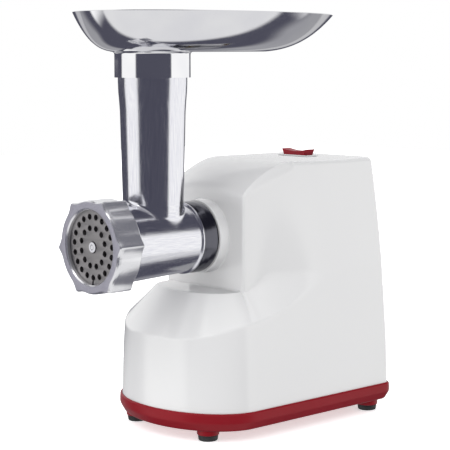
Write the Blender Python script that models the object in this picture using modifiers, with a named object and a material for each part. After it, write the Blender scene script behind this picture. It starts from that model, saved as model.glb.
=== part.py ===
"""Electric meat grinder with a metal head, an oval hopper tray and a geared motor in a plastic housing.

Metres, +Z up.  The cutting plate faces -Y.  The origin is on the floor under the middle of the grinder.
Every separate physical piece is one object.  Pieces that move have their origin on their joint's axis.
"""

import math

import bmesh
import bpy

# ---------------------------------------------------------------- driving dimensions
GAP = 0.0003                # clearance between pieces that touch

# housing and base
SEAM_Z = 0.0240             # joint line between the housing and the base
SIDE_W = 0.0750             # half width at the seam
SIDE_SLOPE = 0.0285         # how fast the side leans in just above the seam
SIDE_CURVE = 0.4050         # how fast that lean grows with height
FRONT_Y = -0.0790           # tip of the rounded nose at the seam
NOSE_Y = -0.0260            # where the nose meets the straight side
FRONT_LEAN = 0.0150         # the nose's tip leans back by this much for each unit of height
BACK_Y = 0.1405
BACK_LEAN = 0.0010          # the back wall leans in by this much for each unit of height
BACK_CORNER = 0.0085
CREASE_Z = 0.0840           # top of the nose's upright wall
SHELF_Z = 0.1190            # flat shelf under the grinding head
SHELF_W = 0.0481
SHELF_Y = -0.0477
WALL_Y = -0.0160            # upright front wall of the tower
WALL_W = 0.0489
ARC_Z = 0.1970              # the front wall starts to lean back here
TOP_Z = 0.2250
TOP_Y = 0.0380              # the flat top starts here
SCOOP_Y = 0.0620            # the scooped tower side runs out here
EDGE = 0.0025               # chamfer on the tower's front edges
SHELL = 0.0025              # housing and base wall thickness
BASE_Z = 0.0115             # underside of the base
BASE_CHAMFER = 0.0035

FOOT_XY = ((-0.046, -0.053), (0.046, -0.053), (-0.062, 0.1235), (0.062, 0.1235))
FOOT_NAMES = ("foot_front_left", "foot_front_right", "foot_back_left", "foot_back_right")
POST_R = 0.0095
PAD_R = 0.0085
PAD_H = 0.0047
PLUG_R = 0.0030

# grinding head, all turned about the auger axis
AXIS_Z = 0.1625
BOSS_Y = -0.0250            # front face of the round boss that the head plugs into
BOSS_R = 0.0310
SPIGOT_R = 0.0240
SPIGOT_END = -0.0080
BARREL_BORE = 0.0255
BARREL_FRONT = -0.1292
BARREL_BACK = -0.0340       # inside face of the barrel's rear wall
THREAD_R = 0.0339
THREAD_END = -0.1155
TUBE_Y = -0.0720            # feed tube axis
TUBE_TOP = 0.3170
TUBE_TOP_R = 0.0283
TUBE_FOOT_R = 0.0249
TUBE_FOOT_Z = 0.1900
TUBE_WALL = 0.0030

RING_FRONT = -0.1390
RING_BACK = -0.1145
RING_MOUTH_R = 0.0300
RING_POCKET_R = 0.0314
RING_BORE_R = 0.0343
RING_FACE_R = 0.0362
RING_BODY_R = 0.0378
RING_LUG_R = 0.0418
RING_LUGS = 6
RING_TURN = 5.0             # degrees that the first lug stands above the +X direction

PLATE_R = 0.0310
PLATE_FRONT = -0.1347
PLATE_BACK = -0.1297
PLATE_HOLE_R = 0.0024
PLATE_ROWS = ((0.0245, 19), (0.0155, 12))
PLATE_CENTRE_R = 0.0047

KNIFE_FRONT = -0.1293
KNIFE_BACK = -0.1215
AUGER_FRONT = -0.1211
AUGER_BACK = -0.0360
AUGER_R = 0.0247
AUGER_PITCH = 0.0300
HEX_FLAT = 0.0142           # across flats of the auger's drive tail

# hopper tray
TRAY_Y = -0.0124
TRAY_A = 0.1260             # half length at the rim
TRAY_B = 0.0827             # half width at the rim
RIM_Z = 0.3496
TRAY_FLOOR_Z = 0.3184
TRAY_WALL = 0.0011
COLLAR_R = 0.0299
COLLAR_END = 0.2966

# rocker switch
SWITCH_Y = 0.0970
ROCKER_L = 0.0317
ROCKER_W = 0.0124
ROCKER_TOP = 0.0145         # height of the rocker's ends above its pin
ROCKER_DISH = 0.0018        # how far its middle lies below its ends
SWITCH_L = 0.0333           # switch body that passes through the housing's top
SWITCH_W = 0.0132
FRAME_RIM = 0.0011          # how far the frame overlaps the hole's edge
PIVOT_Z = TOP_Z - 0.0080    # height of the rocker's pin

# lock button
BUTTON_ANGLE = math.radians(205.0)
BUTTON_OFFSET = 0.0390
BUTTON_R = 0.0060
BUTTON_FRONT = -0.0263

# gear train: (gear teeth, pinion teeth, module, middle of the toothed band along Y, gear face width)
STAGE_3 = (54, 12, 0.00125, 0.0170, 0.0120)
STAGE_2 = (48, 12, 0.00100, 0.0290, 0.0080)
STAGE_1 = (48, 12, 0.00080, 0.0380, 0.0060)
BACKLASH = 0.00030
IDLER_2_ANGLE = math.radians(-20.0)
IDLER_1_ANGLE = math.radians(25.0)
CASE_FRONT = 0.0040
CASE_BACK = 0.0440
PLATE_T = 0.0030

# motor
STACK_FRONT = 0.0780
STACK_BACK = 0.1080
STACK_W = 0.0640
STACK_H = 0.0540
ROTOR_R = 0.0183
SHAFT_R = 0.0040

GLAND_Z = 0.0450

COLLECTION = "meat_grinder"
CUTTERS = "cutters"


# ---------------------------------------------------------------- scene helpers
def clear_scene():
    for obj in list(bpy.data.objects):
        bpy.data.objects.remove(obj, do_unlink=True)
    for name in (COLLECTION, CUTTERS):
        collection = bpy.data.collections.new(name)
        bpy.context.scene.collection.children.link(collection)


def material(name, colour, roughness, metallic=0.0):
    """A Principled material, made once and shared by name."""
    if name in bpy.data.materials:
        return bpy.data.materials[name]
    made = bpy.data.materials.new(name)
    made.use_nodes = True
    shader = made.node_tree.nodes["Principled BSDF"]
    shader.inputs["Base Color"].default_value = (*colour, 1.0)
    shader.inputs["Roughness"].default_value = roughness
    shader.inputs["Metallic"].default_value = metallic
    made.diffuse_color = (*colour, 1.0)
    return made


def white_plastic():
    return material("white_plastic", (0.80, 0.80, 0.81), 0.25)


def red_plastic():
    return material("red_plastic", (0.30, 0.02, 0.04), 0.30)


def rubber():
    return material("rubber", (0.02, 0.02, 0.02), 0.80)


def cast_aluminium():
    return material("polished_aluminium", (0.78, 0.78, 0.82), 0.15, 1.0)


def tray_metal():
    return material("tray_aluminium", (0.80, 0.80, 0.82), 0.12, 1.0)


def steel():
    return material("steel", (0.55, 0.55, 0.57), 0.30, 1.0)


def dull_steel():
    return material("plate_steel", (0.40, 0.38, 0.37), 0.50, 1.0)


def nylon():
    return material("nylon", (0.82, 0.80, 0.72), 0.50)


def copper():
    return material("copper", (0.72, 0.35, 0.18), 0.35, 1.0)


def brass():
    return material("brass", (0.72, 0.55, 0.25), 0.35, 1.0)


def carbon():
    return material("carbon", (0.05, 0.05, 0.055), 0.60)


def place(name, mesh, finish, location=(0.0, 0.0, 0.0), rotation=(0.0, 0.0, 0.0)):
    """An object for a mesh or curve: a piece when it has a finish, otherwise a hidden cutter."""
    obj = bpy.data.objects.new(name, mesh)
    obj.location = location
    obj.rotation_euler = rotation
    if finish is None:
        obj.hide_render = True
        obj.display_type = "WIRE"
        bpy.data.collections[CUTTERS].objects.link(obj)
    else:
        mesh.materials.append(finish)
        bpy.data.collections[COLLECTION].objects.link(obj)
    return obj


def boolean(obj, tool, operation):
    step = obj.modifiers.new(operation.lower() + "_" + tool.name, "BOOLEAN")
    step.object = tool
    step.operation = operation
    step.solver = "EXACT"


def cut(obj, *tools):
    for tool in tools:
        boolean(obj, tool, "DIFFERENCE")


def join(obj, *tools):
    for tool in tools:
        boolean(obj, tool, "UNION")


def smooth(mesh, angle=35.0):
    mesh.shade_smooth()
    mesh.set_sharp_from_angle(angle=math.radians(angle))


def mesh_from(name, build):
    """A mesh filled by build(bm)."""
    bm = bmesh.new()
    build(bm)
    mesh = bpy.data.meshes.new(name)
    bm.to_mesh(mesh)
    bm.free()
    return mesh


CUTTER_SPIN = 0.05          # cutters are turned a little, so that their corners miss those of what they cut


# ---------------------------------------------------------------- shapes
def turned(name, profile, finish, location, segments=32, along_y=True):
    """A profile of (radius, height) points turned about local Z; along_y lays that axis along world +Y.

    The profile runs down its outer side and back up the inside, so that its faces point out.
    A solid one starts and ends on the axis; a ring is closed by repeating its first point."""
    def build(bm):
        closed = profile[0] == profile[-1]
        points = profile[:-1] if closed else profile
        verts = [bm.verts.new((r, 0.0, h)) for r, h in points]
        for first, second in zip(verts, verts[1:]):
            bm.edges.new((first, second))
        if closed:
            bm.edges.new((verts[-1], verts[0]))
    spin = CUTTER_SPIN if finish is None else 0.0
    rotation = (-math.pi / 2, spin, 0.0) if along_y else (0.0, 0.0, spin)
    obj = place(name, mesh_from(name, build), finish, location, rotation)
    screw = obj.modifiers.new("turn", "SCREW")
    screw.axis = "Z"
    screw.steps = segments
    screw.render_steps = segments
    screw.use_merge_vertices = True
    screw.merge_threshold = 0.00001
    screw.use_smooth_shade = True
    return obj


def cylinder(name, radius, length, finish, location, segments, along_y=True):
    """A plain round bar centred on its location."""
    def build(bm):
        bmesh.ops.create_cone(bm, cap_ends=True, segments=segments,
                              radius1=radius, radius2=radius, depth=length)
    mesh = mesh_from(name, build)
    smooth(mesh)
    spin = CUTTER_SPIN if finish is None else 0.0
    rotation = (-math.pi / 2, spin, 0.0) if along_y else (0.0, 0.0, spin)
    return place(name, mesh, finish, location, rotation)


def rod(name, radius, start, end, finish, xz=(0.0, AXIS_Z), segments=24):
    """A plain round bar along Y from start to end."""
    return cylinder(name, radius, end - start, finish, (xz[0], (start + end) / 2, xz[1]), segments)


def bush(name, outer, inner, start, end, finish, xz=(0.0, AXIS_Z), segments=24):
    """A plain tube along Y from start to end."""
    length = end - start
    profile = [(outer, length), (outer, 0.0), (inner, 0.0), (inner, length), (outer, length)]
    return turned(name, profile, finish, (xz[0], start, xz[1]), segments)


def post(name, radius, bottom, top, xy, finish=None, segments=18):
    """A plain upright round bar."""
    middle = (xy[0], xy[1], (bottom + top) / 2)
    return cylinder(name, radius, top - bottom, finish, middle, segments, along_y=False)


def block(name, low, high, finish=None, bevel=0.0):
    """A box between two corners."""
    size = [b - a for a, b in zip(low, high)]
    middle = [(a + b) / 2 for a, b in zip(low, high)]

    def build(bm):
        bmesh.ops.create_cube(bm, size=1.0)
        bmesh.ops.scale(bm, vec=size, verts=bm.verts)
    obj = place(name, mesh_from(name, build), finish, middle)
    if bevel:
        step = obj.modifiers.new("bevel", "BEVEL")
        step.width = bevel
        step.segments = 1
    return obj


def circle_points(radius, count, centre=(0.0, 0.0), phase=0.0):
    step = 2 * math.pi / count
    return [(centre[0] + radius * math.cos(phase + i * step),
             centre[1] + radius * math.sin(phase + i * step)) for i in range(count)]


def slab(name, outlines, start, end, finish, location=(0.0, 0.0, 0.0)):
    """Flat outlines in the XZ plane, holes among them, made as thick as start to end along Y."""
    curve = bpy.data.curves.new(name, "CURVE")
    curve.dimensions = "2D"
    curve.fill_mode = "BOTH"
    curve.extrude = (end - start) / 2
    for outline in outlines:
        spline = curve.splines.new("POLY")
        spline.points.add(len(outline) - 1)
        for point, (x, z) in zip(spline.points, outline):
            point.co = (x, z, 0.0, 1.0)
        spline.use_cyclic_u = True
    middle = (start + end) / 2
    rotation = (math.pi / 2, 0.0, 0.0)
    flat = bpy.data.objects.new(name + "_flat", curve)
    bpy.context.scene.collection.objects.link(flat)
    bpy.context.view_layer.update()
    evaluated = flat.evaluated_get(bpy.context.evaluated_depsgraph_get())
    mesh = bpy.data.meshes.new_from_object(evaluated)
    bpy.data.objects.remove(flat, do_unlink=True)
    bm = bmesh.new()
    bm.from_mesh(mesh)
    bmesh.ops.remove_doubles(bm, verts=bm.verts, dist=0.000001)
    bmesh.ops.recalc_face_normals(bm, faces=bm.faces)
    bm.to_mesh(mesh)
    bm.free()
    mesh.materials.clear()
    where = (location[0], location[1] + middle, location[2])
    return place(name, mesh, finish, where, rotation)


def skin(bm, rings, close_last=True, close_first=False):
    """Quads between rings of equal length; points that fall together are shared, so some become triangles."""
    known = {}

    def vert(point):
        key = tuple(round(c * 1e6) for c in point)
        if key not in known:
            known[key] = bm.verts.new(point)
        return known[key]
    rows = [[vert(p) for p in ring] for ring in rings]
    for low, high in zip(rows, rows[1:]):
        for i in range(len(low)):
            j = (i + 1) % len(low)
            corners = []
            for v in (low[i], low[j], high[j], high[i]):
                if v not in corners:
                    corners.append(v)
            if len(corners) > 2:
                bm.faces.new(corners)
    if close_last:
        bm.faces.new(list(dict.fromkeys(rows[-1])))
    if close_first:
        bm.faces.new(list(dict.fromkeys(reversed(rows[0]))))


# ---------------------------------------------------------------- housing outline
NOSE_STEPS = 8
SIDE_STATIONS = (0.0, 0.12, 0.26, 0.42, 0.62, 0.82, 1.0)
CORNER_STEPS = 3


def ease(t):
    t = min(max(t, 0.0), 1.0)
    return t * t * (3 - 2 * t)


def side_width(z):
    """Half width of the housing's plain side at a height."""
    rise = max(z - SEAM_Z, 0.0)
    return SIDE_W - SIDE_SLOPE * rise - SIDE_CURVE * rise * rise


def tower_width(y, z):
    """Half width of the tower, which is scooped in towards its front wall."""
    return WALL_W + (side_width(z) - WALL_W) * ease((y - WALL_Y) / (SCOOP_Y - WALL_Y))


def back_y(z):
    return BACK_Y - BACK_LEAN * (z - SEAM_Z)


def side_points(start_y, width, height):
    """Points along the side from start_y round the back corner to the middle of the back."""
    corner_y = back_y(height(BACK_Y)) - BACK_CORNER
    points = []
    for t in SIDE_STATIONS:
        y = start_y + (corner_y - start_y) * t
        points.append((width(y), y, height(y)))
    z = height(BACK_Y)
    centre_x = width(corner_y) - BACK_CORNER
    for i in range(1, CORNER_STEPS + 1):
        turn = math.pi / 2 * i / CORNER_STEPS
        points.append((centre_x + BACK_CORNER * math.cos(turn), corner_y + BACK_CORNER * math.sin(turn), z))
    points.append((0.0, back_y(z), z))
    return points


def nose_points(width, start_y, tip_y, power, height):
    """Points round the nose, from its tip to where it meets the side."""
    points = []
    for i in range(NOSE_STEPS + 1):
        turn = math.pi / 2 * i / NOSE_STEPS
        x = width * math.sin(turn) ** (2 / power)
        y = start_y + (tip_y - start_y) * math.cos(turn) ** (2 / power)
        points.append((x, y, height(x)))
    return points


def whole_ring(half):
    """A closed ring from the half with x >= 0, which runs from the front middle to the back middle."""
    other = [(-x, y, z) for x, y, z in reversed(half[1:-1])]
    return half + other


def level_ring(z, inset=0.0):
    """A flat ring of the lower body's D shape."""
    tip = FRONT_Y + inset + FRONT_LEAN * (z - SEAM_Z)
    nose = nose_points(side_width(z) - inset, NOSE_Y, tip, 2.0, lambda x: z)
    side = side_points(WALL_Y, lambda y: side_width(z) - inset, lambda y: z)
    side[-1] = (0.0, side[-1][1] - inset, z)
    for i in range(1, CORNER_STEPS + 1):
        x, y, z = side[-1 - i]
        side[-1 - i] = (x, y - inset * (CORNER_STEPS + 1 - i) / CORNER_STEPS, z)
    return whole_ring(nose + side)


def crease_ring():
    """The top edge of the upright lower wall: level round the nose, climbing along the side."""
    def height(y):
        return CREASE_Z + 0.013 + 0.034 * ease((y - NOSE_Y) / 0.120)
    nose = nose_points(side_width(CREASE_Z + 0.013), NOSE_Y, FRONT_Y + 0.001, 2.0,
                       lambda x: CREASE_Z + 0.013 * (x / side_width(CREASE_Z)) ** 4)
    return whole_ring(nose + side_points(WALL_Y, lambda y: side_width(height(y)), height))


def shoulder_height(y):
    return SHELF_Z + 0.013 * ease((y - WALL_Y) / 0.030)


def shoulder_side():
    side = side_points(WALL_Y + EDGE, lambda y: tower_width(y, shoulder_height(y)), shoulder_height)
    return side


def shelf_ring():
    """The shelf's outline, carried on along the foot of the tower's side."""
    nose = nose_points(SHELF_W - EDGE, WALL_Y, SHELF_Y, 2.6, lambda x: SHELF_Z)
    return whole_ring(nose + shoulder_side())


def wall_foot_ring():
    """The front wall's foot across the shelf; the rest repeats the shelf ring."""
    nose = [((SHELF_W - EDGE) * i / NOSE_STEPS, WALL_Y, SHELF_Z) for i in range(NOSE_STEPS + 1)]
    return whole_ring(nose + shoulder_side())


def tower_ring(z, inset=0.0):
    """A level ring of the tower; above ARC_Z its front leans back, more at the edges than in the middle."""
    rise = min(max((z - ARC_Z) / (TOP_Z - ARC_Z), 0.0), 1.0)
    bow = 1 - math.sqrt(max(1 - rise * rise, 0.0))
    middle = WALL_Y + (TOP_Y - WALL_Y) * bow
    edge = WALL_Y + (TOP_Y - WALL_Y) * (bow + rise) / 2
    front = []
    for i in range(NOSE_STEPS + 1):
        share = i / NOSE_STEPS
        y = middle + (edge - middle) * share ** 3 + inset
        front.append(((WALL_W - EDGE - inset) * share, y, z))
    side = side_points(edge + EDGE + inset, lambda y: tower_width(y, z) - inset, lambda y: z)
    for i in range(CORNER_STEPS + 1):
        x, y, z = side[-1 - i]
        side[-1 - i] = (x, y - inset, z)
    return whole_ring(front + side)


def housing_rings():
    rings = [level_ring(SEAM_Z), level_ring(0.054), crease_ring(), shelf_ring(), wall_foot_ring()]
    rings += [tower_ring(z) for z in (0.160, ARC_Z)]
    for turn in (22.0, 42.0, 58.0):
        rings.append(tower_ring(ARC_Z + (TOP_Z - ARC_Z) * math.sin(math.radians(turn))))
    rings.append(tower_ring(TOP_Z - 0.0016))
    rings.append(tower_ring(TOP_Z, 0.0020))
    return rings


def button_xz():
    return (BUTTON_OFFSET * math.cos(BUTTON_ANGLE), AXIS_Z + BUTTON_OFFSET * math.sin(BUTTON_ANGLE))


def thicken(obj, thickness):
    shell = obj.modifiers.new("shell", "SOLIDIFY")
    shell.thickness = thickness
    shell.offset = -1.0
    shell.use_even_offset = True
    shell.use_quality_normals = True


def make_housing():
    mesh = mesh_from("housing_shell", lambda bm: skin(bm, housing_rings()))
    smooth(mesh, 25.0)
    housing = place("housing_shell", mesh, white_plastic())
    thicken(housing, SHELL)
    join(housing, rod("boss", BOSS_R, BOSS_Y, WALL_Y + SHELL / 2, None, segments=32))
    side, across = SWITCH_L / 2 + GAP, SWITCH_W / 2 + GAP
    switch_hole = block("switch_hole", (-side, SWITCH_Y - across, TOP_Z - 0.01),
                        (side, SWITCH_Y + across, TOP_Z + 0.01))
    cut(housing,
        rod("socket_hole", SPIGOT_R + 0.0005, BOSS_Y - 0.01, WALL_Y + 0.012, None, segments=32),
        rod("button_hole", BUTTON_R + 0.0004, WALL_Y - 0.01, WALL_Y + 0.008, None, button_xz(), 20),
        rod("gland_hole", 0.0066, BACK_Y - 0.015, BACK_Y + 0.01, None, (0.0, GLAND_Z), 16),
        switch_hole)


def make_base():
    def build(bm):
        skin(bm, [level_ring(BASE_Z, BASE_CHAMFER), level_ring(0.0175), level_ring(SEAM_Z - GAP)],
             close_last=False, close_first=True)
    mesh = mesh_from("base_tray", build)
    base = place("base_tray", mesh, red_plastic())
    thicken(base, SHELL)
    for name, xy in zip(FOOT_NAMES, FOOT_XY):
        join(base, post("post_" + name, POST_R, PAD_H + GAP, BASE_Z + 0.0015, xy))
    for name, xy in zip(FOOT_NAMES, FOOT_XY):
        cut(base, post("socket_" + name, PLUG_R + GAP, PAD_H - 0.001, PAD_H + 0.0055, xy, segments=12))
    return base


def make_feet():
    for name, xy in zip(FOOT_NAMES, FOOT_XY):
        top = PAD_H + 0.0045
        profile = [(0.0, top), (PLUG_R, top), (PLUG_R, PAD_H), (PAD_R, PAD_H), (PAD_R, 0.0012),
                   (PAD_R - 0.0012, 0.0), (0.0, 0.0)]
        turned(name, profile, rubber(), (xy[0], xy[1], 0.0), 16, along_y=False)


# ---------------------------------------------------------------- switch, lock button and cord inlet
def make_switch():
    """A rocker that tips about a pin along Y, in a frame whose body hangs below the housing's top."""
    low = TOP_Z + GAP
    side, across = SWITCH_L / 2 + FRAME_RIM, SWITCH_W / 2 + FRAME_RIM
    frame = block("switch_frame", (-side, SWITCH_Y - across, low), (side, SWITCH_Y + across, low + 0.0010),
                  white_plastic())
    join(frame, block("switch_body_block", (-SWITCH_L / 2, SWITCH_Y - SWITCH_W / 2, low - 0.0180),
                      (SWITCH_L / 2, SWITCH_Y + SWITCH_W / 2, low + 0.0005)))
    side = ROCKER_L / 2 + 0.0004
    hollow = ((-side, 0.0170), (side, 0.0170), (side, 0.0), (side - 0.0030, -0.0080),
              (0.0030 - side, -0.0080), (-side, 0.0))
    cut(frame, slab("rocker_space", [hollow], -ROCKER_W / 2 + 0.0002, ROCKER_W / 2 - 0.0002, None,
                    (0.0, SWITCH_Y, PIVOT_Z)))

    half = ROCKER_L / 2 - 0.0006
    neck = ROCKER_L / 2 - 0.0030
    steps = 8
    shares = [1 - 2 * i / steps for i in range(steps + 1)]
    top = [(half * share, ROCKER_TOP - ROCKER_DISH * (1 - share * share)) for share in shares]
    outline = [(0.0045, -0.0045), (neck - 0.0020, 0.0050), (neck, 0.0095)] + top
    outline += [(-neck, 0.0095), (0.0020 - neck, 0.0050), (-0.0045, -0.0045)]
    slab("switch_rocker", [outline], -ROCKER_W / 2 + 0.0006, ROCKER_W / 2 - 0.0006, red_plastic(),
         (0.0, SWITCH_Y, PIVOT_Z))


def make_lock():
    """A round button that slides through the front wall, held in by its flange and pushed out by a spring."""
    x, z = button_xz()
    flange_r = BUTTON_R + 0.0016
    flange = WALL_Y + SHELL + 0.0006
    profile = [(0.0, flange + 0.0020), (flange_r, flange + 0.0020), (flange_r, flange), (BUTTON_R, flange),
               (BUTTON_R, BUTTON_FRONT + 0.0015), (BUTTON_R - 0.0015, BUTTON_FRONT), (0.0, BUTTON_FRONT)]
    turned("lock_button", profile, red_plastic(), (x, 0.0, z), 20)

    turns = 4
    start = flange + 0.0024
    length = CASE_FRONT - 0.0010 - start
    curve = bpy.data.curves.new("lock_spring", "CURVE")
    curve.dimensions = "3D"
    curve.bevel_depth = 0.0004
    curve.bevel_resolution = 0
    curve.use_fill_caps = True
    count = turns * 8 + 1
    spline = curve.splines.new("POLY")
    spline.points.add(count - 1)
    for i, point in enumerate(spline.points):
        turn = 2 * math.pi * i / 8
        along = length * i / (count - 1)
        point.co = (0.0035 * math.cos(turn), along, 0.0035 * math.sin(turn), 1.0)
    place("lock_spring", curve, steel(), (x, start, z))


def make_gland():
    profile = [(0.0090, 0.0022), (0.0090, 0.0006), (0.0063, 0.0006), (0.0063, -0.0050), (0.0042, -0.0050),
               (0.0042, 0.0022), (0.0090, 0.0022)]
    turned("cord_gland", profile, rubber(), (0.0, back_y(GLAND_Z), GLAND_Z), 20)


# ---------------------------------------------------------------- grinding head
def axis_profile(points):
    """Radius and world Y pairs, listed from the front, as a profile that starts at its far end."""
    return [(r, y) for r, y in reversed(points)]


def make_head():
    outer = [(0.0, BARREL_FRONT), (THREAD_R - 0.0008, BARREL_FRONT), (THREAD_R, BARREL_FRONT + 0.0008),
             (THREAD_R, THREAD_END), (0.0322, THREAD_END + 0.0010), (0.0318, -0.1060), (0.0290, -0.0440),
             (0.0303, -0.0420), (0.0303, BOSS_Y - GAP - 0.0015), (0.0290, BOSS_Y - GAP),
             (SPIGOT_R, BOSS_Y - GAP), (SPIGOT_R, SPIGOT_END - 0.0006),
             (SPIGOT_R - 0.0006, SPIGOT_END), (0.0, SPIGOT_END)]
    head = turned("grinder_head", axis_profile(outer), cast_aluminium(), (0.0, 0.0, AXIS_Z), 32)

    foot = AXIS_Z + 0.004
    tube = [(0.0, TUBE_TOP), (TUBE_TOP_R, TUBE_TOP), (TUBE_TOP_R, 0.2930), (TUBE_TOP_R - 0.0016, 0.2650),
            (TUBE_FOOT_R, TUBE_FOOT_Z), (TUBE_FOOT_R, foot), (0.0, foot)]
    join(head, turned("feed_tube_outer", tube, None, (0.0, TUBE_Y, 0.0), 28, along_y=False))

    bore = [(0.0, BARREL_FRONT - 0.01), (BARREL_BORE, BARREL_FRONT - 0.01),
            (BARREL_BORE, BARREL_BACK - 0.001), (BARREL_BORE - 0.001, BARREL_BACK),
            (0.0104, BARREL_BACK), (0.0104, -0.0205), (0.0190, -0.0205),
            (0.0190, SPIGOT_END + 0.01), (0.0, SPIGOT_END + 0.01)]
    cut(head, turned("barrel_bore", axis_profile(bore), None, (0.0, 0.0, AXIS_Z), 28))
    throat = [(0.0, TUBE_TOP + 0.01), (TUBE_TOP_R - TUBE_WALL, TUBE_TOP + 0.01),
              (TUBE_TOP_R - TUBE_WALL, 0.2930), (TUBE_FOOT_R - TUBE_WALL, TUBE_FOOT_Z),
              (TUBE_FOOT_R - TUBE_WALL, AXIS_Z + 0.006), (0.0, AXIS_Z + 0.006)]
    cut(head, turned("throat", throat, None, (0.0, TUBE_Y, 0.0), 24, along_y=False))
    pin_y = BARREL_FRONT
    cut(head, rod("locator_hole", 0.00125, pin_y - 0.002, pin_y + 0.0060, None, (0.0, AXIS_Z - 0.0290), 10))
    rod("plate_locator", 0.0010, PLATE_FRONT + 0.0010, pin_y + 0.0055, steel(), (0.0, AXIS_Z - 0.0290), 10)


def make_tray():
    """A thin oval dish whose floor runs down into a collar that slips over the feed tube."""
    steps = 36
    floor = TRAY_FLOOR_Z
    angles = [2 * math.pi * i / steps for i in range(steps)]

    def circle(radius, z):
        return [(radius * math.cos(a), TUBE_Y + radius * math.sin(a), z) for a in angles]

    def oval(share, z):
        centre = TUBE_Y + (TRAY_Y - TUBE_Y) * share ** 0.8
        return [(TRAY_B * share * math.cos(a), centre + TRAY_A * share * math.sin(a), z) for a in angles]

    def build(bm):
        rings = [circle(COLLAR_R, COLLAR_END), circle(COLLAR_R, floor - 0.0030),
                 circle(COLLAR_R + 0.0009, floor - 0.0009), circle(COLLAR_R + 0.0030, floor)]
        for share in (0.58, 0.70, 0.82, 0.91, 0.97, 1.0):
            rise = ((share - 0.5) / 0.5) ** 2.6
            rings.append(oval(share, floor + (RIM_Z - floor) * rise))
        skin(bm, rings, close_last=False)
    mesh = mesh_from("hopper_tray", build)
    smooth(mesh)
    tray = place("hopper_tray", mesh, tray_metal())
    thicken(tray, TRAY_WALL)
    return tray


LUG_TURNS = (0.0, 4.5, 8.0, 14.0, 22.0, 30.0, 38.0, 46.0, 52.0, 55.5)      # degrees round one lug's share


def lug_circle(radius, peak=None):
    """A circle, or one with a lug at the start of each sixth; its points crowd round the lugs."""
    points = []
    for lug in range(RING_LUGS):
        for degrees in LUG_TURNS:
            away = min(degrees, 60.0 - degrees) / 15.0
            rise = math.exp(-away * away * 4.0) if peak else 0.0
            r = radius + ((peak or radius) - radius) * rise
            turn = math.radians(60.0 * lug + degrees + RING_TURN)
            points.append((r * math.cos(turn), r * math.sin(turn)))
    return points


def make_ring_nut():
    def ring(outline, y):
        return [(x, y, z) for x, z in outline]

    def build(bm):
        rings = [ring(lug_circle(RING_BORE_R), RING_BACK),
                 ring(lug_circle(RING_BODY_R - 0.0010, RING_LUG_R - 0.0012), RING_BACK),
                 ring(lug_circle(RING_BODY_R, RING_LUG_R - 0.0002), RING_BACK - 0.0012),
                 ring(lug_circle(RING_BODY_R, RING_LUG_R), RING_FRONT + 0.0045),
                 ring(lug_circle(RING_BODY_R - 0.0002, RING_LUG_R - 0.0002), RING_FRONT + 0.0016),
                 ring(lug_circle(RING_FACE_R, RING_LUG_R - 0.0014), RING_FRONT),
                 ring(lug_circle(RING_MOUTH_R + 0.0012), RING_FRONT),
                 ring(lug_circle(RING_MOUTH_R), RING_FRONT + 0.0012),
                 ring(lug_circle(RING_MOUTH_R), PLATE_FRONT - GAP),
                 ring(lug_circle(RING_POCKET_R), PLATE_FRONT - GAP),
                 ring(lug_circle(RING_POCKET_R), PLATE_BACK - 0.0004),
                 ring(lug_circle(RING_BORE_R), PLATE_BACK - 0.0004)]
        skin(bm, rings + [rings[0]], close_last=False)
        bmesh.ops.recalc_face_normals(bm, faces=bm.faces)
    mesh = mesh_from("ring_nut", build)
    smooth(mesh, 30.0)
    place("ring_nut", mesh, cast_aluminium(), (0.0, 0.0, AXIS_Z))


def make_plate():
    notch = 0.0014
    root, lip = -0.0274, -PLATE_R + 0.0001
    rim = [p for p in circle_points(PLATE_R, 48, phase=math.pi / 48) if not (abs(p[0]) < notch and p[1] < 0)]
    where = next(i for i, p in enumerate(rim) if p[1] < 0 and p[0] > 0)
    rim[where:where] = [(-notch, lip), (-notch, root), (notch, root), (notch, lip)]
    holes = [circle_points(PLATE_CENTRE_R, 16)]
    for radius, count in PLATE_ROWS:
        phase = math.pi / 2 + math.pi / count
        centres = circle_points(radius, count, phase=phase)
        holes += [circle_points(PLATE_HOLE_R, 6, centre) for centre in centres]
    slab("cutting_plate", [rim] + holes, PLATE_FRONT, PLATE_BACK, dull_steel(), (0.0, 0.0, AXIS_Z))


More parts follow.
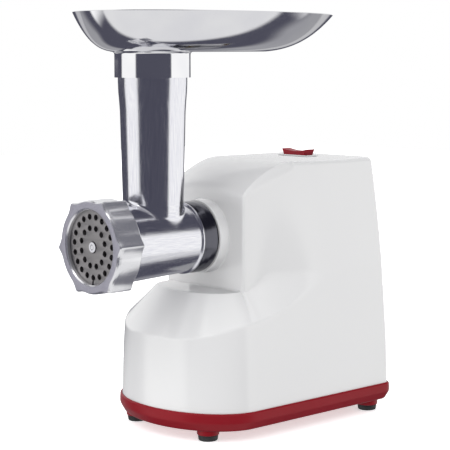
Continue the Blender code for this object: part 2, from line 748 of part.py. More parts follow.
def make_auger():
    """Screw with one flight, twisted from a lobed section, with a square front and a hexagonal drive tail."""
    steps = 12
    slices = 38
    length = AUGER_BACK - AUGER_FRONT

    def section(y, share):
        core = 0.0085 + 0.0035 * share
        spin = 2 * math.pi * (y - AUGER_FRONT) / AUGER_PITCH
        points = []
        for i in range(steps):
            turn = -math.pi + 2 * math.pi * i / steps
            angle = math.copysign(abs(turn / math.pi) ** 1.5 * math.pi, turn)
            lobe = max(0.0, 1 - abs(angle) / 0.9) ** 0.8
            r = core + (AUGER_R - core) * min(1.0, lobe * 1.5)
            points.append((r * math.cos(angle + spin), y, r * math.sin(angle + spin)))
        return points

    def build(bm):
        rings = [section(AUGER_FRONT + length * i / slices, i / slices) for i in range(slices + 1)]
        skin(bm, rings, close_first=True)
        bmesh.ops.recalc_face_normals(bm, faces=bm.faces)
    mesh = mesh_from("auger", build)
    smooth(mesh, 40.0)
    auger = place("auger", mesh, cast_aluminium(), (0.0, 0.0, AXIS_Z))
    half = 0.0058
    square = [(half, half), (-half, half), (-half, -half), (half, -half)]
    join(auger,
         slab("auger_square", [square], KNIFE_FRONT, AUGER_FRONT + 0.002, None, (0.0, 0.0, AXIS_Z)),
         rod("auger_nose", 0.0042, PLATE_FRONT - 0.0008, KNIFE_FRONT + 0.002, None, segments=16),
         rod("auger_journal", 0.0080, AUGER_BACK - 0.001, -0.0220, None, segments=20))
    bore = 0.0034
    cut(auger, rod("tail_socket", bore, -0.0330, -0.0215, None, segments=12))

    tail_r = HEX_FLAT / 2 / math.cos(math.pi / 6)
    tail = slab("auger_drive_tail", [circle_points(tail_r, 6)], -0.0217, -0.0010, nylon(), (0.0, 0.0, AXIS_Z))
    join(tail, rod("tail_plug", bore - GAP, -0.0325, -0.0210, None, segments=12))
    bush("auger_bush", 0.0101, 0.0083, BARREL_BACK - 0.0010, -0.0225, nylon(), segments=20)


def make_knife():
    half = 0.0061
    square = [(half, half), (-half, half), (-half, -half), (half, -half)]
    outline = []
    for arm in range(4):
        turn = arm * math.pi / 2 + math.pi / 4
        for r, a in ((0.0100, -0.50), (0.0140, -0.26), (0.0232, -0.20),
                     (0.0240, 0.12), (0.0140, 0.06), (0.0105, 0.24)):
            outline.append((r * math.cos(turn + a), r * math.sin(turn + a)))
    slab("knife", [outline, square], KNIFE_FRONT - 0.0001, KNIFE_BACK, steel(), (0.0, 0.0, AXIS_Z))


# ---------------------------------------------------------------- gear train
def gear_outline(teeth, module, middle_tooth, fine):
    """Trapezoidal teeth close to a 25 degree involute, thinned for backlash; a tooth or a gap points up at
    middle_tooth, an angle."""
    pitch_r = teeth * module / 2
    tip_r = pitch_r + module
    root_r = pitch_r - 1.25 * module
    half = math.pi / 2 / teeth - BACKLASH / 2 / pitch_r
    slope = math.tan(math.radians(25.0))
    tip = half - (tip_r - pitch_r) * slope / pitch_r * 1.05
    root = half + (pitch_r - root_r) * slope / pitch_r * (0.70 if fine else 0.90)
    corners = [(root_r, -root), (tip_r, -tip), (tip_r, tip), (root_r, root)]
    if fine:
        corners[1:1] = [(pitch_r, -half)]
        corners[-1:-1] = [(pitch_r, half)]
    points = []
    for tooth in range(teeth):
        turn = middle_tooth + 2 * math.pi * tooth / teeth
        points += [(r * math.cos(turn + a), r * math.sin(turn + a)) for r, a in corners]
    return points


def offset(centre, distance, angle):
    """A point below centre, swung sideways by angle, in XZ."""
    return (centre[0] + distance * math.sin(angle), centre[1] - distance * math.cos(angle))


def direction(start, end):
    return math.atan2(end[1] - start[1], end[0] - start[0])


def train_centres():
    output = (0.0, AXIS_Z)
    idler_2 = offset(output, (STAGE_3[0] + STAGE_3[1]) / 2 * STAGE_3[2], IDLER_2_ANGLE)
    idler_1 = offset(idler_2, (STAGE_2[0] + STAGE_2[1]) / 2 * STAGE_2[2], IDLER_1_ANGLE)
    reach = (STAGE_1[0] + STAGE_1[1]) / 2 * STAGE_1[2]
    motor = (0.0, idler_1[1] - math.sqrt(reach * reach - idler_1[0] * idler_1[0]))
    return output, idler_2, idler_1, motor


def band(stage):
    """Start and end along Y of a stage's gear."""
    return stage[3] - stage[4] / 2, stage[3] + stage[4] / 2


def wheel(name, stage, centre, mate, bore, finish):
    """A gear wheel with a gap between teeth facing its mate."""
    start, end = band(stage)
    teeth = gear_outline(stage[0], stage[2], direction(centre, mate) + math.pi / stage[0], False)
    return slab(name, [teeth, circle_points(bore, 16)], start, end, finish, (centre[0], 0.0, centre[1]))


def pinion(name, stage, centre, mate, finish):
    """A pinion with a tooth facing its mate."""
    start, end = band(stage)
    teeth = gear_outline(stage[1], stage[2], direction(centre, mate), True)
    return slab(name, [teeth], start - 0.0006, end + 0.0006, finish, (centre[0], 0.0, centre[1]))


def hull(points):
    """Convex outline round a cloud of points, anticlockwise."""
    points = sorted(set(points))

    def half(cloud):
        chain = []
        for p in cloud:
            while len(chain) > 1:
                (ax, ay), (bx, by) = chain[-2], chain[-1]
                if (bx - ax) * (p[1] - ay) - (by - ay) * (p[0] - ax) > 0:
                    break
                chain.pop()
            chain.append(p)
        return chain[:-1]
    return half(points) + half(reversed(points))


def case_outline(grow=0.0):
    output, idler_2, idler_1, motor = train_centres()
    cloud = []
    for centre, radius in ((output, 0.0430), (idler_2, 0.0290), (idler_1, 0.0240), (motor, 0.0140)):
        cloud += circle_points(radius + grow, 28, centre)
    return hull(cloud)


def make_gears():
    output, idler_2, idler_1, motor = train_centres()
    wheel("output_gear", STAGE_3, output, idler_2, 0.0062, nylon())
    wheel("idler_gear_2", STAGE_2, idler_2, idler_1, 0.0042, nylon())
    wheel("idler_gear_1", STAGE_1, idler_1, motor, 0.0042, nylon())

    cup = HEX_FLAT / 2 / math.cos(math.pi / 6) + 0.0004
    socket_end = 0.0010
    coupling = turned("drive_coupling", [(0.0, 0.0475), (0.0059, 0.0475), (0.0059, 0.0085), (0.0129, 0.0085),
                      (0.0129, -0.0170), (0.0, -0.0170)], steel(), (0.0, 0.0, AXIS_Z), 28)
    cut(coupling, slab("hex_socket", [circle_points(cup, 6)], -0.0200, socket_end, None, (0.0, 0.0, AXIS_Z)))

    pinion_2 = pinion("idler_pinion_2", STAGE_3, idler_2, output, steel())
    join(pinion_2, rod("spindle_2", 0.0039, 0.0050, 0.0465, None, idler_2, 12))
    pinion_1 = pinion("idler_pinion_1", STAGE_2, idler_1, idler_2, steel())
    join(pinion_1, rod("spindle_1", 0.0039, 0.0050, 0.0465, None, idler_1, 12))
    shaft = pinion("rotor_shaft", STAGE_1, motor, idler_1, steel())
    join(shaft, rod("shaft_bar", SHAFT_R, 0.0355, 0.1335, None, motor, 12))


def make_gear_case():
    output, idler_2, idler_1, motor = train_centres()
    case = slab("gear_case", [case_outline()], CASE_FRONT, CASE_BACK, cast_aluminium())
    cut(case,
        slab("case_pocket", [case_outline(-0.0022)], CASE_FRONT + PLATE_T, CASE_BACK + 0.01, None),
        rod("bush_seat", 0.0163, CASE_FRONT - 0.01, CASE_FRONT + 0.01, None, output, 28),
        rod("spindle_seat_2", 0.0042, CASE_FRONT - 0.01, CASE_FRONT + 0.01, None, idler_2, 16),
        rod("spindle_seat_1", 0.0042, CASE_FRONT - 0.01, CASE_FRONT + 0.01, None, idler_1, 16))
    bush_end = CASE_FRONT + PLATE_T + 0.0010
    bush("coupling_bush", 0.0160, 0.0132, CASE_FRONT - 0.0030, bush_end, brass(), output, 28)

    holes = [circle_points(0.0062, 20, output), circle_points(0.0042, 16, idler_2),
             circle_points(0.0042, 16, idler_1), circle_points(0.0050, 16, motor)]
    slab("gear_cover", [case_outline()] + holes, CASE_BACK + GAP, CASE_BACK + GAP + PLATE_T, cast_aluminium())


# ---------------------------------------------------------------- motor
def stack_window():
    """The stator's bore with a winding window each side."""
    points = []
    pole = math.radians(70.0)
    for sign in (1, -1):
        steps = 8
        for i in range(steps + 1):
            turn = sign * math.pi / 2 - pole + 2 * pole * i / steps
            points.append((0.0190 * math.cos(turn), 0.0190 * math.sin(turn)))
        points += [(-sign * 0.0195, sign * 0.0170), (-sign * 0.0270, sign * 0.0170),
                   (-sign * 0.0270, -sign * 0.0170), (-sign * 0.0195, -sign * 0.0170)]
    return points


def rounded_box(width, height, corner, steps=3):
    points = []
    for sx, sz, start in ((1, 1, 0.0), (-1, 1, 0.5), (-1, -1, 1.0), (1, -1, 1.5)):
        cx = sx * (width / 2 - corner)
        cz = sz * (height / 2 - corner)
        for i in range(steps + 1):
            turn = math.pi * (start + 0.5 * i / steps)
            points.append((cx + corner * math.cos(turn), cz + corner * math.sin(turn)))
    return points


BOLT_XZ = ((0.0280, 0.0225), (-0.0280, -0.0225))


def make_motor():
    motor = train_centres()[3]
    at = (motor[0], 0.0, motor[1])
    bolt_holes = [circle_points(0.0021, 10, centre) for centre in BOLT_XZ]
    slab("stator_core", [rounded_box(STACK_W, STACK_H, 0.005), stack_window()] + bolt_holes,
         STACK_FRONT, STACK_BACK, steel(), at)
    for name, side in (("field_coil_upper", 1), ("field_coil_lower", -1)):
        low = (-0.0262, STACK_FRONT - 0.0048, motor[1] + side * 0.0120 - 0.0042)
        high = (0.0262, STACK_BACK + 0.0048, motor[1] + side * 0.0120 + 0.0042)
        coil = block(name, low, high, copper(), bevel=0.0015)
        cut(coil, block(name + "_window", (-0.0200, STACK_FRONT - 0.0005, low[2] - 0.01),
                        (0.0200, STACK_BACK + 0.0005, high[2] + 0.01)))
    outline = [p for i in range(12) for p in rotor_tooth(i)]
    slab("rotor_core", [outline, circle_points(SHAFT_R + 0.0002, 12)], STACK_FRONT, STACK_BACK, steel(), at)
    commutator = [(0.0105, 0.0120), (0.0105, 0.0025), (0.0125, 0.0015), (0.0125, 0.0), (0.0042, 0.0),
                  (0.0042, 0.0120), (0.0105, 0.0120)]
    turned("commutator", commutator, copper(), (motor[0], STACK_BACK + 0.0055, motor[1]), 24)

    blades = []
    for i in range(9):
        turn = 2 * math.pi * i / 9
        blades += [(r * math.cos(turn + a), r * math.sin(turn + a))
                   for r, a in ((0.0100, 0.0), (0.0285, 0.22), (0.0285, 0.30), (0.0100, 0.24))]
    slab("cooling_fan", [blades, circle_points(SHAFT_R + 0.0002, 12)], 0.0590, 0.0690, nylon(), at)

    for name, start, bearing in (("motor_bracket_front", 0.0520, "bearing_front"),
                                 ("motor_bracket_rear", 0.1260, "bearing_rear")):
        plate = [rounded_box(0.0680, 0.0520, 0.004), circle_points(0.0082, 20)] + bolt_holes
        slab(name, plate, start, start + 0.0035, cast_aluminium(), at)
        bush(bearing, 0.0079, SHAFT_R + 0.0002, start - 0.0004, start + 0.0040, steel(), motor, 20)
    for name, (x, z) in zip(("motor_bolt_upper", "motor_bolt_lower"), BOLT_XZ):
        head = 0.1260 + 0.0035 + GAP
        profile = [(0.0, head + 0.0022), (0.0036, head + 0.0022), (0.0036, head), (0.0018, head),
                   (0.0018, 0.0500), (0.0, 0.0500)]
        turned(name, profile, steel(), (motor[0] + x, 0.0, motor[1] + z), 12)
    for side, label in ((-1, "left"), (1, "right")):
        low = (0.0110, 0.1170, motor[1] - 0.0030)
        high = (0.0240, 0.1230, motor[1] + 0.0030)
        mirrored(side, "brush_" + label, low, high, carbon(), None)
        low = (0.0150, 0.1150, motor[1] - 0.0050)
        high = (0.0300, 0.1250, motor[1] + 0.0050)
        hollow = ((0.0140, 0.1167, motor[1] - 0.0033), (0.0280, 0.1233, motor[1] + 0.0033))
        mirrored(side, "brush_holder_" + label, low, high, brass(), hollow)


def rotor_tooth(index):
    turn = 2 * math.pi * index / 12
    return [(r * math.cos(turn + a), r * math.sin(turn + a))
            for r, a in ((0.0120, -0.12), (0.0165, -0.10), (0.0165, -0.20), (ROTOR_R, -0.20), (ROTOR_R, 0.20),
                         (0.0165, 0.20), (0.0165, 0.10), (0.0120, 0.12))]


def mirrored(side, name, low, high, finish, hollow):
    """A box on the +X side, or its mirror image on the -X side, with an optional box cut from it."""
    def corners(a, b):
        if side > 0:
            return a, b
        return (-b[0], a[1], a[2]), (-a[0], b[1], b[2])
    obj = block(name, *corners(low, high), finish)
    if hollow:
        cut(obj, block(name + "_hollow", *corners(*hollow)))


def main():
    clear_scene()
    make_housing()
    make_base()
    make_feet()
    make_switch()
    make_lock()
    make_gland()
    make_head()
    make_tray()
    make_ring_nut()
    make_plate()
    make_auger()
    make_knife()
    make_gears()
    make_gear_case()
    make_motor()
    bpy.context.view_layer.update()


main()
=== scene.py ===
import math

import bmesh
import bpy
from mathutils import Matrix, Vector


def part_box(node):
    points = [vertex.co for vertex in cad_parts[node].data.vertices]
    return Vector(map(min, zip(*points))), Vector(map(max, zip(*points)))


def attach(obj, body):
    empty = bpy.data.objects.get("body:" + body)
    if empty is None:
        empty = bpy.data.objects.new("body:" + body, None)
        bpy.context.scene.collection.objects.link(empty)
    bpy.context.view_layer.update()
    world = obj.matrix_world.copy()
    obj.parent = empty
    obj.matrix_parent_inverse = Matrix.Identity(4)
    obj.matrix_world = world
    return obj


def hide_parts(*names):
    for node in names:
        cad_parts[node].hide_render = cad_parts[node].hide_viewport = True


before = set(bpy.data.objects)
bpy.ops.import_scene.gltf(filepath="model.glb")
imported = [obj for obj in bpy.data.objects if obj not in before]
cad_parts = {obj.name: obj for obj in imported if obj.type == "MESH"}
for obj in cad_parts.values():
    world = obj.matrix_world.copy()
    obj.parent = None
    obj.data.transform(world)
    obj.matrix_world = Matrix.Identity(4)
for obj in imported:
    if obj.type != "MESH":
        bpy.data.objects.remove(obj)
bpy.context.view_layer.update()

# ---- sizes, from the frame where it has them
housing_low, housing_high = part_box("housing_shell")
ring_low, ring_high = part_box("ring_nut")
plate_low, plate_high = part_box("cutting_plate")
head_low, head_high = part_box("grinder_head")
tray_low, tray_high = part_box("hopper_tray")

GAP = 0.0003                # clearance between pieces that touch
SEAM_Z = housing_low.z
SIDE_W = housing_high.x
BACK_Y = housing_high.y
FRONT_Y = housing_low.y
TOP_Z = housing_high.z
AXIS_Z = (ring_low.z + ring_high.z) / 2
BASE_Z = 0.0115
SHELL = 0.0022

SIDE_SLOPE = 0.0285         # how fast the side leans in just above the seam
SIDE_CURVE = 0.4050         # how fast that lean grows with height
NOSE_Y = -0.0260            # where the rounded nose meets the straight side
FRONT_LEAN = 0.0150         # the nose's tip leans back by this much for each unit of height
BACK_LEAN = 0.0010          # and the back wall leans forward by this much
BACK_CORNER = 0.0085
CREASE_Z = 0.0840           # top of the nose's upright wall
SHELF_Z = 0.1190            # flat shelf under the grinding head
SHELF_W = 0.0481
SHELF_Y = -0.0477
SHELF_POWER = 2.6           # how square the shelf's outline is; 2 would be an ellipse
WALL_Y = -0.0160            # upright front wall of the tower
WALL_W = 0.0489
ARC_Z = 0.1970              # the front wall starts to lean back here
TOP_Y = 0.0380              # the flat top starts here
SCOOP_Y = 0.0620            # the scooped tower side runs out here
EDGE = 0.0025               # rounding of the tower's front edges

BOSS_Y = -0.0250            # front of the round boss that the head plugs into
BOSS_R = 0.0310
SOCKET_R = 0.0245
SPIGOT_R = 0.0240
SPIGOT_END = -0.0080
BARREL_BORE = 0.0255
TUBE_Y = -0.0720
TUBE_TOP_R = 0.0283
TUBE_FOOT_R = 0.0249
TUBE_WALL = 0.0030
BARREL_FRONT = head_low.y
TUBE_TOP = head_high.z

SWITCH_Y = 0.0970
BUTTON_X, BUTTON_Z = -0.03535, 0.1460
GLAND_Z = 0.0450
FEET = {"foot_front_left": (-0.046, -0.053), "foot_front_right": (0.046, -0.053),
        "foot_back_left": (-0.062, 0.1235), "foot_back_right": (0.062, 0.1235)}


# ---- node helpers
class Nodes:
    """A node tree, with short calls for the nodes used here."""

    def __init__(self, tree):
        self.tree = tree

    def node(self, kind, **settings):
        made = self.tree.nodes.new(kind)
        for key, value in settings.items():
            setattr(made, key, value)
        return made

    def feed(self, socket, value):
        """A number or a colour set on the socket, or another node's output linked to it."""
        if isinstance(value, bpy.types.NodeSocket):
            self.tree.links.new(value, socket)
        else:
            socket.default_value = (*value, 1.0) if isinstance(value, tuple) else value

    def part(self, vector, letter):
        made = self.node("ShaderNodeSeparateXYZ")
        self.feed(made.inputs[0], vector)
        return made.outputs[letter]

    def math(self, operation, first, second=None):
        made = self.node("ShaderNodeMath", operation=operation)
        self.feed(made.inputs[0], first)
        if second is not None:
            self.feed(made.inputs[1], second)
        return made.outputs[0]

    def spread(self, value, low, high, start=0.0, end=1.0, smooth=False):
        made = self.node("ShaderNodeMapRange")
        if smooth:
            made.interpolation_type = "SMOOTHSTEP"
        for name, number in zip(("From Min", "From Max", "To Min", "To Max"), (low, high, start, end)):
            made.inputs[name].default_value = number
        self.feed(made.inputs["Value"], value)
        return made.outputs["Result"]

    def blend(self, factor, first, second, colours=False):
        made = self.node("ShaderNodeMix", data_type="RGBA" if colours else "FLOAT")
        start = 6 if colours else 2     # the node has a pair of inputs for each data type
        for socket, value in zip((made.inputs[0], *made.inputs[start:start + 2]), (factor, first, second)):
            self.feed(socket, value)
        return made.outputs[2 if colours else 0]


class Shader(Nodes):
    """A material with one Principled shader."""

    def __init__(self, name, colour, roughness, metallic=0.0):
        self.material = bpy.data.materials.new(name)
        self.material.use_nodes = True
        super().__init__(self.material.node_tree)
        self.bsdf = self.tree.nodes["Principled BSDF"]
        self.plain("Base Color", (*colour, 1.0))
        self.plain("Roughness", roughness)
        self.plain("Metallic", metallic)
        self.coords = self.node("ShaderNodeTexCoord").outputs["Object"]
        self.bump_socket = None

    def plain(self, name, value):
        """One value all over, on the shader's own socket."""
        self.bsdf.inputs[name].default_value = value

    def noise(self, scale, detail=2.0, stretch=None, roughness=0.5):
        made = self.node("ShaderNodeTexNoise")
        for name, number in (("Scale", scale), ("Detail", detail), ("Roughness", roughness)):
            made.inputs[name].default_value = number
        vector = self.coords
        if stretch:
            mapping = self.node("ShaderNodeMapping")
            mapping.inputs["Scale"].default_value = stretch
            self.feed(mapping.inputs["Vector"], self.coords)
            vector = mapping.outputs["Vector"]
        self.feed(made.inputs["Vector"], vector)
        return made.outputs["Fac"]

    def axis(self, letter):
        return self.part(self.coords, letter)

    def colour(self, factor, first, second):
        self.feed(self.bsdf.inputs["Base Color"], self.blend(factor, first, second, True))

    def mottle(self, noise, first, second):
        """The colour drifts between the two with the noise."""
        self.colour(self.spread(noise, 0.3, 0.7), first, second)

    def rough(self, noise, low, high):
        self.feed(self.bsdf.inputs["Roughness"], self.spread(noise, 0.3, 0.7, low, high))

    def bump(self, value, strength, distance):
        made = self.node("ShaderNodeBump")
        made.inputs["Strength"].default_value = strength
        made.inputs["Distance"].default_value = distance
        self.feed(made.inputs["Height"], value)
        if self.bump_socket is not None:
            self.feed(made.inputs["Normal"], self.bump_socket)
        self.bump_socket = made.outputs["Normal"]
        self.feed(self.bsdf.inputs["Normal"], self.bump_socket)


def moulded_white():
    s = Shader("moulded_white_abs", (0.80, 0.80, 0.80), 0.24)
    s.mottle(s.noise(9.0), (0.790, 0.790, 0.795), (0.806, 0.806, 0.808))
    s.rough(s.noise(60.0, 3.0), 0.225, 0.265)
    s.bump(s.noise(1400.0), 0.02, 0.0003)
    s.plain("Coat Weight", 0.8)
    s.plain("Coat Roughness", 0.15)
    return s.material


def moulded_red(name, dark, light):
    s = Shader(name, light, 0.32)
    s.mottle(s.noise(14.0, 3.0), dark, light)
    s.rough(s.noise(90.0, 3.0), 0.28, 0.42)
    s.bump(s.noise(1700.0), 0.05, 0.0004)
    s.plain("Specular IOR Level", 0.22)
    return s.material


def soft_rubber():
    s = Shader("soft_rubber", (0.018, 0.018, 0.019), 0.62)
    s.colour(s.spread(s.noise(180.0, 4.0), 0.35, 0.7), (0.012, 0.012, 0.013), (0.030, 0.030, 0.031))
    s.rough(s.noise(400.0), 0.50, 0.75)
    s.bump(s.noise(2400.0, 3.0), 0.25, 0.0003)
    return s.material


def polished_casting():
    """Buffed cast aluminium: fine buffing lines along the barrel and up the feed tube, and painted shade on
    the collar: its colour is darkened to stand in for dark reflection.
    """
    s = Shader("polished_casting", (0.80, 0.80, 0.84), 0.12, 1.0)
    along_barrel = s.noise(1.0, 3.0, (1500.0, 45.0, 1500.0), 0.65)
    up_tube = s.noise(1.0, 3.0, (1500.0, 1500.0, 45.0), 0.65)
    on_tube = s.spread(s.axis("Z"), AXIS_Z + 0.030, AXIS_Z + 0.036)
    lines = s.blend(on_tube, along_barrel, up_tube)
    bright = s.blend(s.spread(lines, 0.3, 0.7), (0.70, 0.70, 0.76), (0.86, 0.86, 0.88), True)
    # painted shade: the collar gets a near-black base colour that stands in for dark reflection, though it is
    # the same metal as the barrel
    collar_painted_shade = s.spread(s.axis("Y"), -0.0418, -0.0408)
    s.colour(collar_painted_shade, bright, (0.12, 0.12, 0.14))
    s.rough(lines, 0.10, 0.22)
    s.bump(lines, 0.16, 0.00014)
    s.bump(s.noise(55.0), 0.10, 0.0009)
    return s.material


def nut_casting():
    """The same casting with a sandy, unpolished front face."""
    s = Shader("nut_casting", (0.80, 0.80, 0.84), 0.14, 0.88)
    grain = s.noise(2300.0, 3.0, roughness=0.7)
    face = s.spread(s.axis("Y"), ring_low.y + 0.0004, ring_low.y + 0.0002)
    lines = s.noise(1.0, 3.0, (1500.0, 60.0, 1500.0), 0.65)
    flank = s.blend(s.spread(grain, 0.3, 0.7), (0.86, 0.86, 0.89), (0.95, 0.95, 0.96), True)
    front = s.blend(s.spread(grain, 0.3, 0.7), (0.36, 0.35, 0.42), (0.60, 0.59, 0.66), True)
    s.colour(face, flank, front)
    shiny = s.spread(lines, 0.3, 0.7, 0.15, 0.27)
    dull = s.spread(grain, 0.3, 0.7, 0.30, 0.46)
    s.feed(s.bsdf.inputs["Roughness"], s.blend(face, shiny, dull))
    s.bump(s.math("MULTIPLY", grain, face), 0.55, 0.0004)
    s.bump(s.noise(70.0), 0.12, 0.0009)
    return s.material


def spun_tray():
    """Mirror-polished sheet with the faint ripple of its forming."""
    s = Shader("mirror_sheet", (0.84, 0.84, 0.86), 0.06, 1.0)
    s.mottle(s.noise(30.0), (0.80, 0.80, 0.83), (0.88, 0.88, 0.89))
    s.rough(s.noise(240.0, 3.0), 0.045, 0.10)
    s.bump(s.noise(18.0, 1.0), 0.10, 0.0016)
    s.bump(s.noise(1900.0), 0.03, 0.0002)
    return s.material


def ground_plate():
    """Matte ground steel with the fine circular marks of its grinding."""
    s = Shader("ground_steel", (0.33, 0.32, 0.315), 0.46, 1.0)
    x = s.axis("X")
    z = s.math("SUBTRACT", s.axis("Z"), AXIS_Z)
    radius = s.math("SQRT", s.math("ADD", s.math("MULTIPLY", x, x), s.math("MULTIPLY", z, z)))
    rings = s.math("SINE", s.math("MULTIPLY", radius, 14000.0))
    grain = s.noise(1500.0, 3.0)
    s.mottle(grain, (0.29, 0.28, 0.28), (0.41, 0.395, 0.40))
    s.rough(grain, 0.40, 0.56)
    s.bump(rings, 0.10, 0.00008)
    s.bump(grain, 0.20, 0.0002)
    return s.material


def machined(name, dark, light, rough_low, rough_high, stretch=(900, 900, 900), strength=0.15, metallic=1.0):
    """Metal or plastic with a fine grain, for the inner parts."""
    s = Shader(name, light, rough_low, metallic)
    grain = s.noise(1.0, 3.0, stretch)
    s.mottle(grain, dark, light)
    s.rough(grain, rough_low, rough_high)
    s.bump(grain, strength, 0.0002)
    return s.material


def inner_materials():
    """A finish for each material slot of the CAD nodes that keep their own mesh."""
    return {
        "steel": machined("turned_steel", (0.42, 0.42, 0.44), (0.60, 0.60, 0.62), 0.22, 0.36,
                          (1200, 60, 1200)),
        "core_steel": machined("stacked_laminations", (0.20, 0.20, 0.21), (0.34, 0.34, 0.35), 0.40, 0.60,
                               (60, 2200, 60), 0.5),
        "cast_alloy": machined("cast_alloy_grey", (0.42, 0.42, 0.43), (0.62, 0.62, 0.63), 0.38, 0.55,
                               (420, 420, 420), 0.4),
        "brass": machined("sintered_brass", (0.55, 0.40, 0.17), (0.74, 0.57, 0.28), 0.30, 0.48),
        "copper": machined("enamelled_wire", (0.42, 0.15, 0.06), (0.78, 0.38, 0.18), 0.26, 0.40,
                           (90, 90, 2600), 0.8),
        "carbon": machined("brush_carbon", (0.030, 0.030, 0.032), (0.075, 0.075, 0.08), 0.5, 0.7,
                           metallic=0.0),
        "nylon": machined("gear_nylon", (0.70, 0.67, 0.58), (0.82, 0.80, 0.72), 0.38, 0.52,
                          (300, 300, 300), 0.08, 0.0),
        "polished_aluminium": casting}


# ---- mesh helpers
def new_object(name, build, finish, angle=35.0):
    """An object whose mesh build(bm) fills, shaded smooth up to angle."""
    bm = bmesh.new()
    build(bm)
    mesh = bpy.data.meshes.new(name)
    bm.to_mesh(mesh)
    bm.free()
    mesh.materials.append(finish)
    obj = bpy.data.objects.new(name, mesh)
    bpy.context.scene.collection.objects.link(obj)
    soften(mesh, angle)
    return obj


def soften(mesh, angle):
    mesh.shade_smooth()
    mesh.set_sharp_from_angle(angle=math.radians(angle))


def finished(obj, body, slot, *nodes):
    """The piece rides on its body and stands for its CAD nodes; its record slot decides whether reflections
    see it.
    """
    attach(obj, body)
    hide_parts(*nodes)
    obj.visible_glossy = slot not in ("white_plastic", "red_plastic", "rubber")
    return obj


def bake(obj, angle=35.0):
    """Applies the object's modifiers."""
    bpy.context.view_layer.update()
    evaluated = obj.evaluated_get(bpy.context.evaluated_depsgraph_get())
    mesh = bpy.data.meshes.new_from_object(evaluated)
    old = obj.data
    obj.modifiers.clear()
    obj.data = mesh
    bpy.data.meshes.remove(old)
    mesh.name = obj.name
    soften(mesh, angle)


def boolean(obj, tools, operation):
    for tool in tools:
        step = obj.modifiers.new("step", "BOOLEAN")
        step.operation = operation
        step.object = tool
        step.solver = "EXACT"
    bake(obj)
    for tool in tools:
        mesh = tool.data
        bpy.data.objects.remove(tool, do_unlink=True)
        bpy.data.meshes.remove(mesh)


def shared_rows(bm, rings, known, grain):
    """The rings' vertices; points that fall together, to 1 part in grain of a metre, are shared."""
    rows = []
    for ring in rings:
        row = []
        for point in ring:
            key = tuple(round(c * grain) for c in point)
            if key not in known:
                known[key] = bm.verts.new(point)
            row.append(known[key])
        rows.append(row)
    return rows


def fill_between(bm, rows):
    """Quads, or triangles where corners fall together, between closed rows of vertices."""
    for low, high in zip(rows, rows[1:]):
        for i in range(len(low)):
            j = (i + 1) % len(low)
            corners = list(dict.fromkeys((low[i], low[j], high[j], high[i])))
            if len(corners) > 2:
                bm.faces.new(corners)


def skin(bm, rings, close_last=False, wrap=False):
    """A surface through closed rings of equal length."""
    rows = shared_rows(bm, rings, {}, 2e6)
    if wrap:
        rows.append(rows[0])
    fill_between(bm, rows)
    if close_last:
        bm.faces.new(list(dict.fromkeys(rows[-1])))
    bmesh.ops.recalc_face_normals(bm, faces=bm.faces)


def rounded(points, radii, steps):
    """The polyline with an arc of steps pieces at each corner that has a radius. The count of points depends
    on the None entries of radii only, so that neighbouring lines keep in step."""
    out = [points[0]]
    for i in range(1, len(points) - 1):
        before, corner, after = points[i - 1], points[i], points[i + 1]
        radius = radii[i]
        if radius is None:
            out.append(corner)
            continue
        back, on = before - corner, after - corner
        cos_half = math.cos(back.angle(on, math.pi) / 2)
        sin_half = math.sin(back.angle(on, math.pi) / 2)
        reach = radius * cos_half / max(sin_half, 1e-6)
        room_back = back.length * (0.92 if radii[i - 1] is None else 0.45)
        room_on = on.length * (0.92 if radii[i + 1] is None else 0.45)
        reach = max(min(reach, room_back, room_on), 1e-6)
        start = corner + back.normalized() * reach
        end = corner + on.normalized() * reach
        for k in range(steps + 1):
            t = k / steps
            a, b, c = (1 - t) ** 2, 2 * t * (1 - t) * sin_half, t * t
            out.append((start * a + corner * b + end * c) / (a + b + c))
    out.append(points[-1])
    return out


def turned(name, profile, finish, centre=(0.0, 0.0, 0.0), axis="Y", columns=96, closed=False):
    """(radius, height) points turned about an axis through centre; height runs along +axis. Points run
    anticlockwise round the section, with the radius to the right, so that the faces look out."""
    def build(bm):
        rings = []
        for radius, height in profile:
            ring = []
            for i in range(columns):
                turn = 2 * math.pi * i / columns
                across, up = radius * math.cos(turn), radius * math.sin(turn)
                local = (across, height, up) if axis == "Y" else (across, up, height)
                ring.append(Vector(local) + Vector(centre))
            rings.append(ring)
        skin(bm, rings, wrap=closed)
    return new_object(name, build, finish)


def smooth_profile(points, radii, steps=5):
    """A turned profile with rounded corners; radii has one entry for each point."""
    return [(p.x, p.y) for p in rounded([Vector(point) for point in points], radii, steps)]


def ease(t):
    t = min(max(t, 0.0), 1.0)
    return t * t * (3 - 2 * t)


def mix(a, b, t):
    return a + (b - a) * t


# ---- housing outline
NOSE_STEPS = 40
ARRIS_STEPS = 8             # columns round the tower's upright front edge
SIDE_STEPS = 46
CORNER_STEPS = 10
BACK_STEPS = 12


def side_width(z):
    """Half width of the housing's plain side at a height."""
    rise = max(z - SEAM_Z, 0.0)
    return SIDE_W - SIDE_SLOPE * rise - SIDE_CURVE * rise * rise


def tower_width(y, z):
    """Half width of the tower, which is scooped in towards its front wall."""
    return WALL_W + (side_width(z) - WALL_W) * ease((y - WALL_Y) / (SCOOP_Y - WALL_Y))


def back_y(z):
    return BACK_Y - BACK_LEAN * (z - SEAM_Z)


def side_points(start_y, width, height, inset=0.0):
    """Points along the side from start_y, round the back corner, to the middle of the back."""
    wall = back_y(height(BACK_Y)) - inset
    corner = BACK_CORNER - inset
    corner_y = wall - corner
    points = []
    for i in range(SIDE_STEPS + 1):
        y = mix(start_y, corner_y, (i / SIDE_STEPS) ** 1.25)
        points.append((width(y), y, height(y)))
    z = height(BACK_Y)
    centre_x = width(corner_y) - corner
    for i in range(1, CORNER_STEPS + 1):
        turn = math.pi / 2 * i / CORNER_STEPS
        across = corner * math.sin(math.pi / 2 - turn)
        points.append((centre_x + across, corner_y + corner * math.sin(turn), z))
    for i in range(1, BACK_STEPS + 1):
        points.append((centre_x * (1 - i / BACK_STEPS), wall, z))
    return points


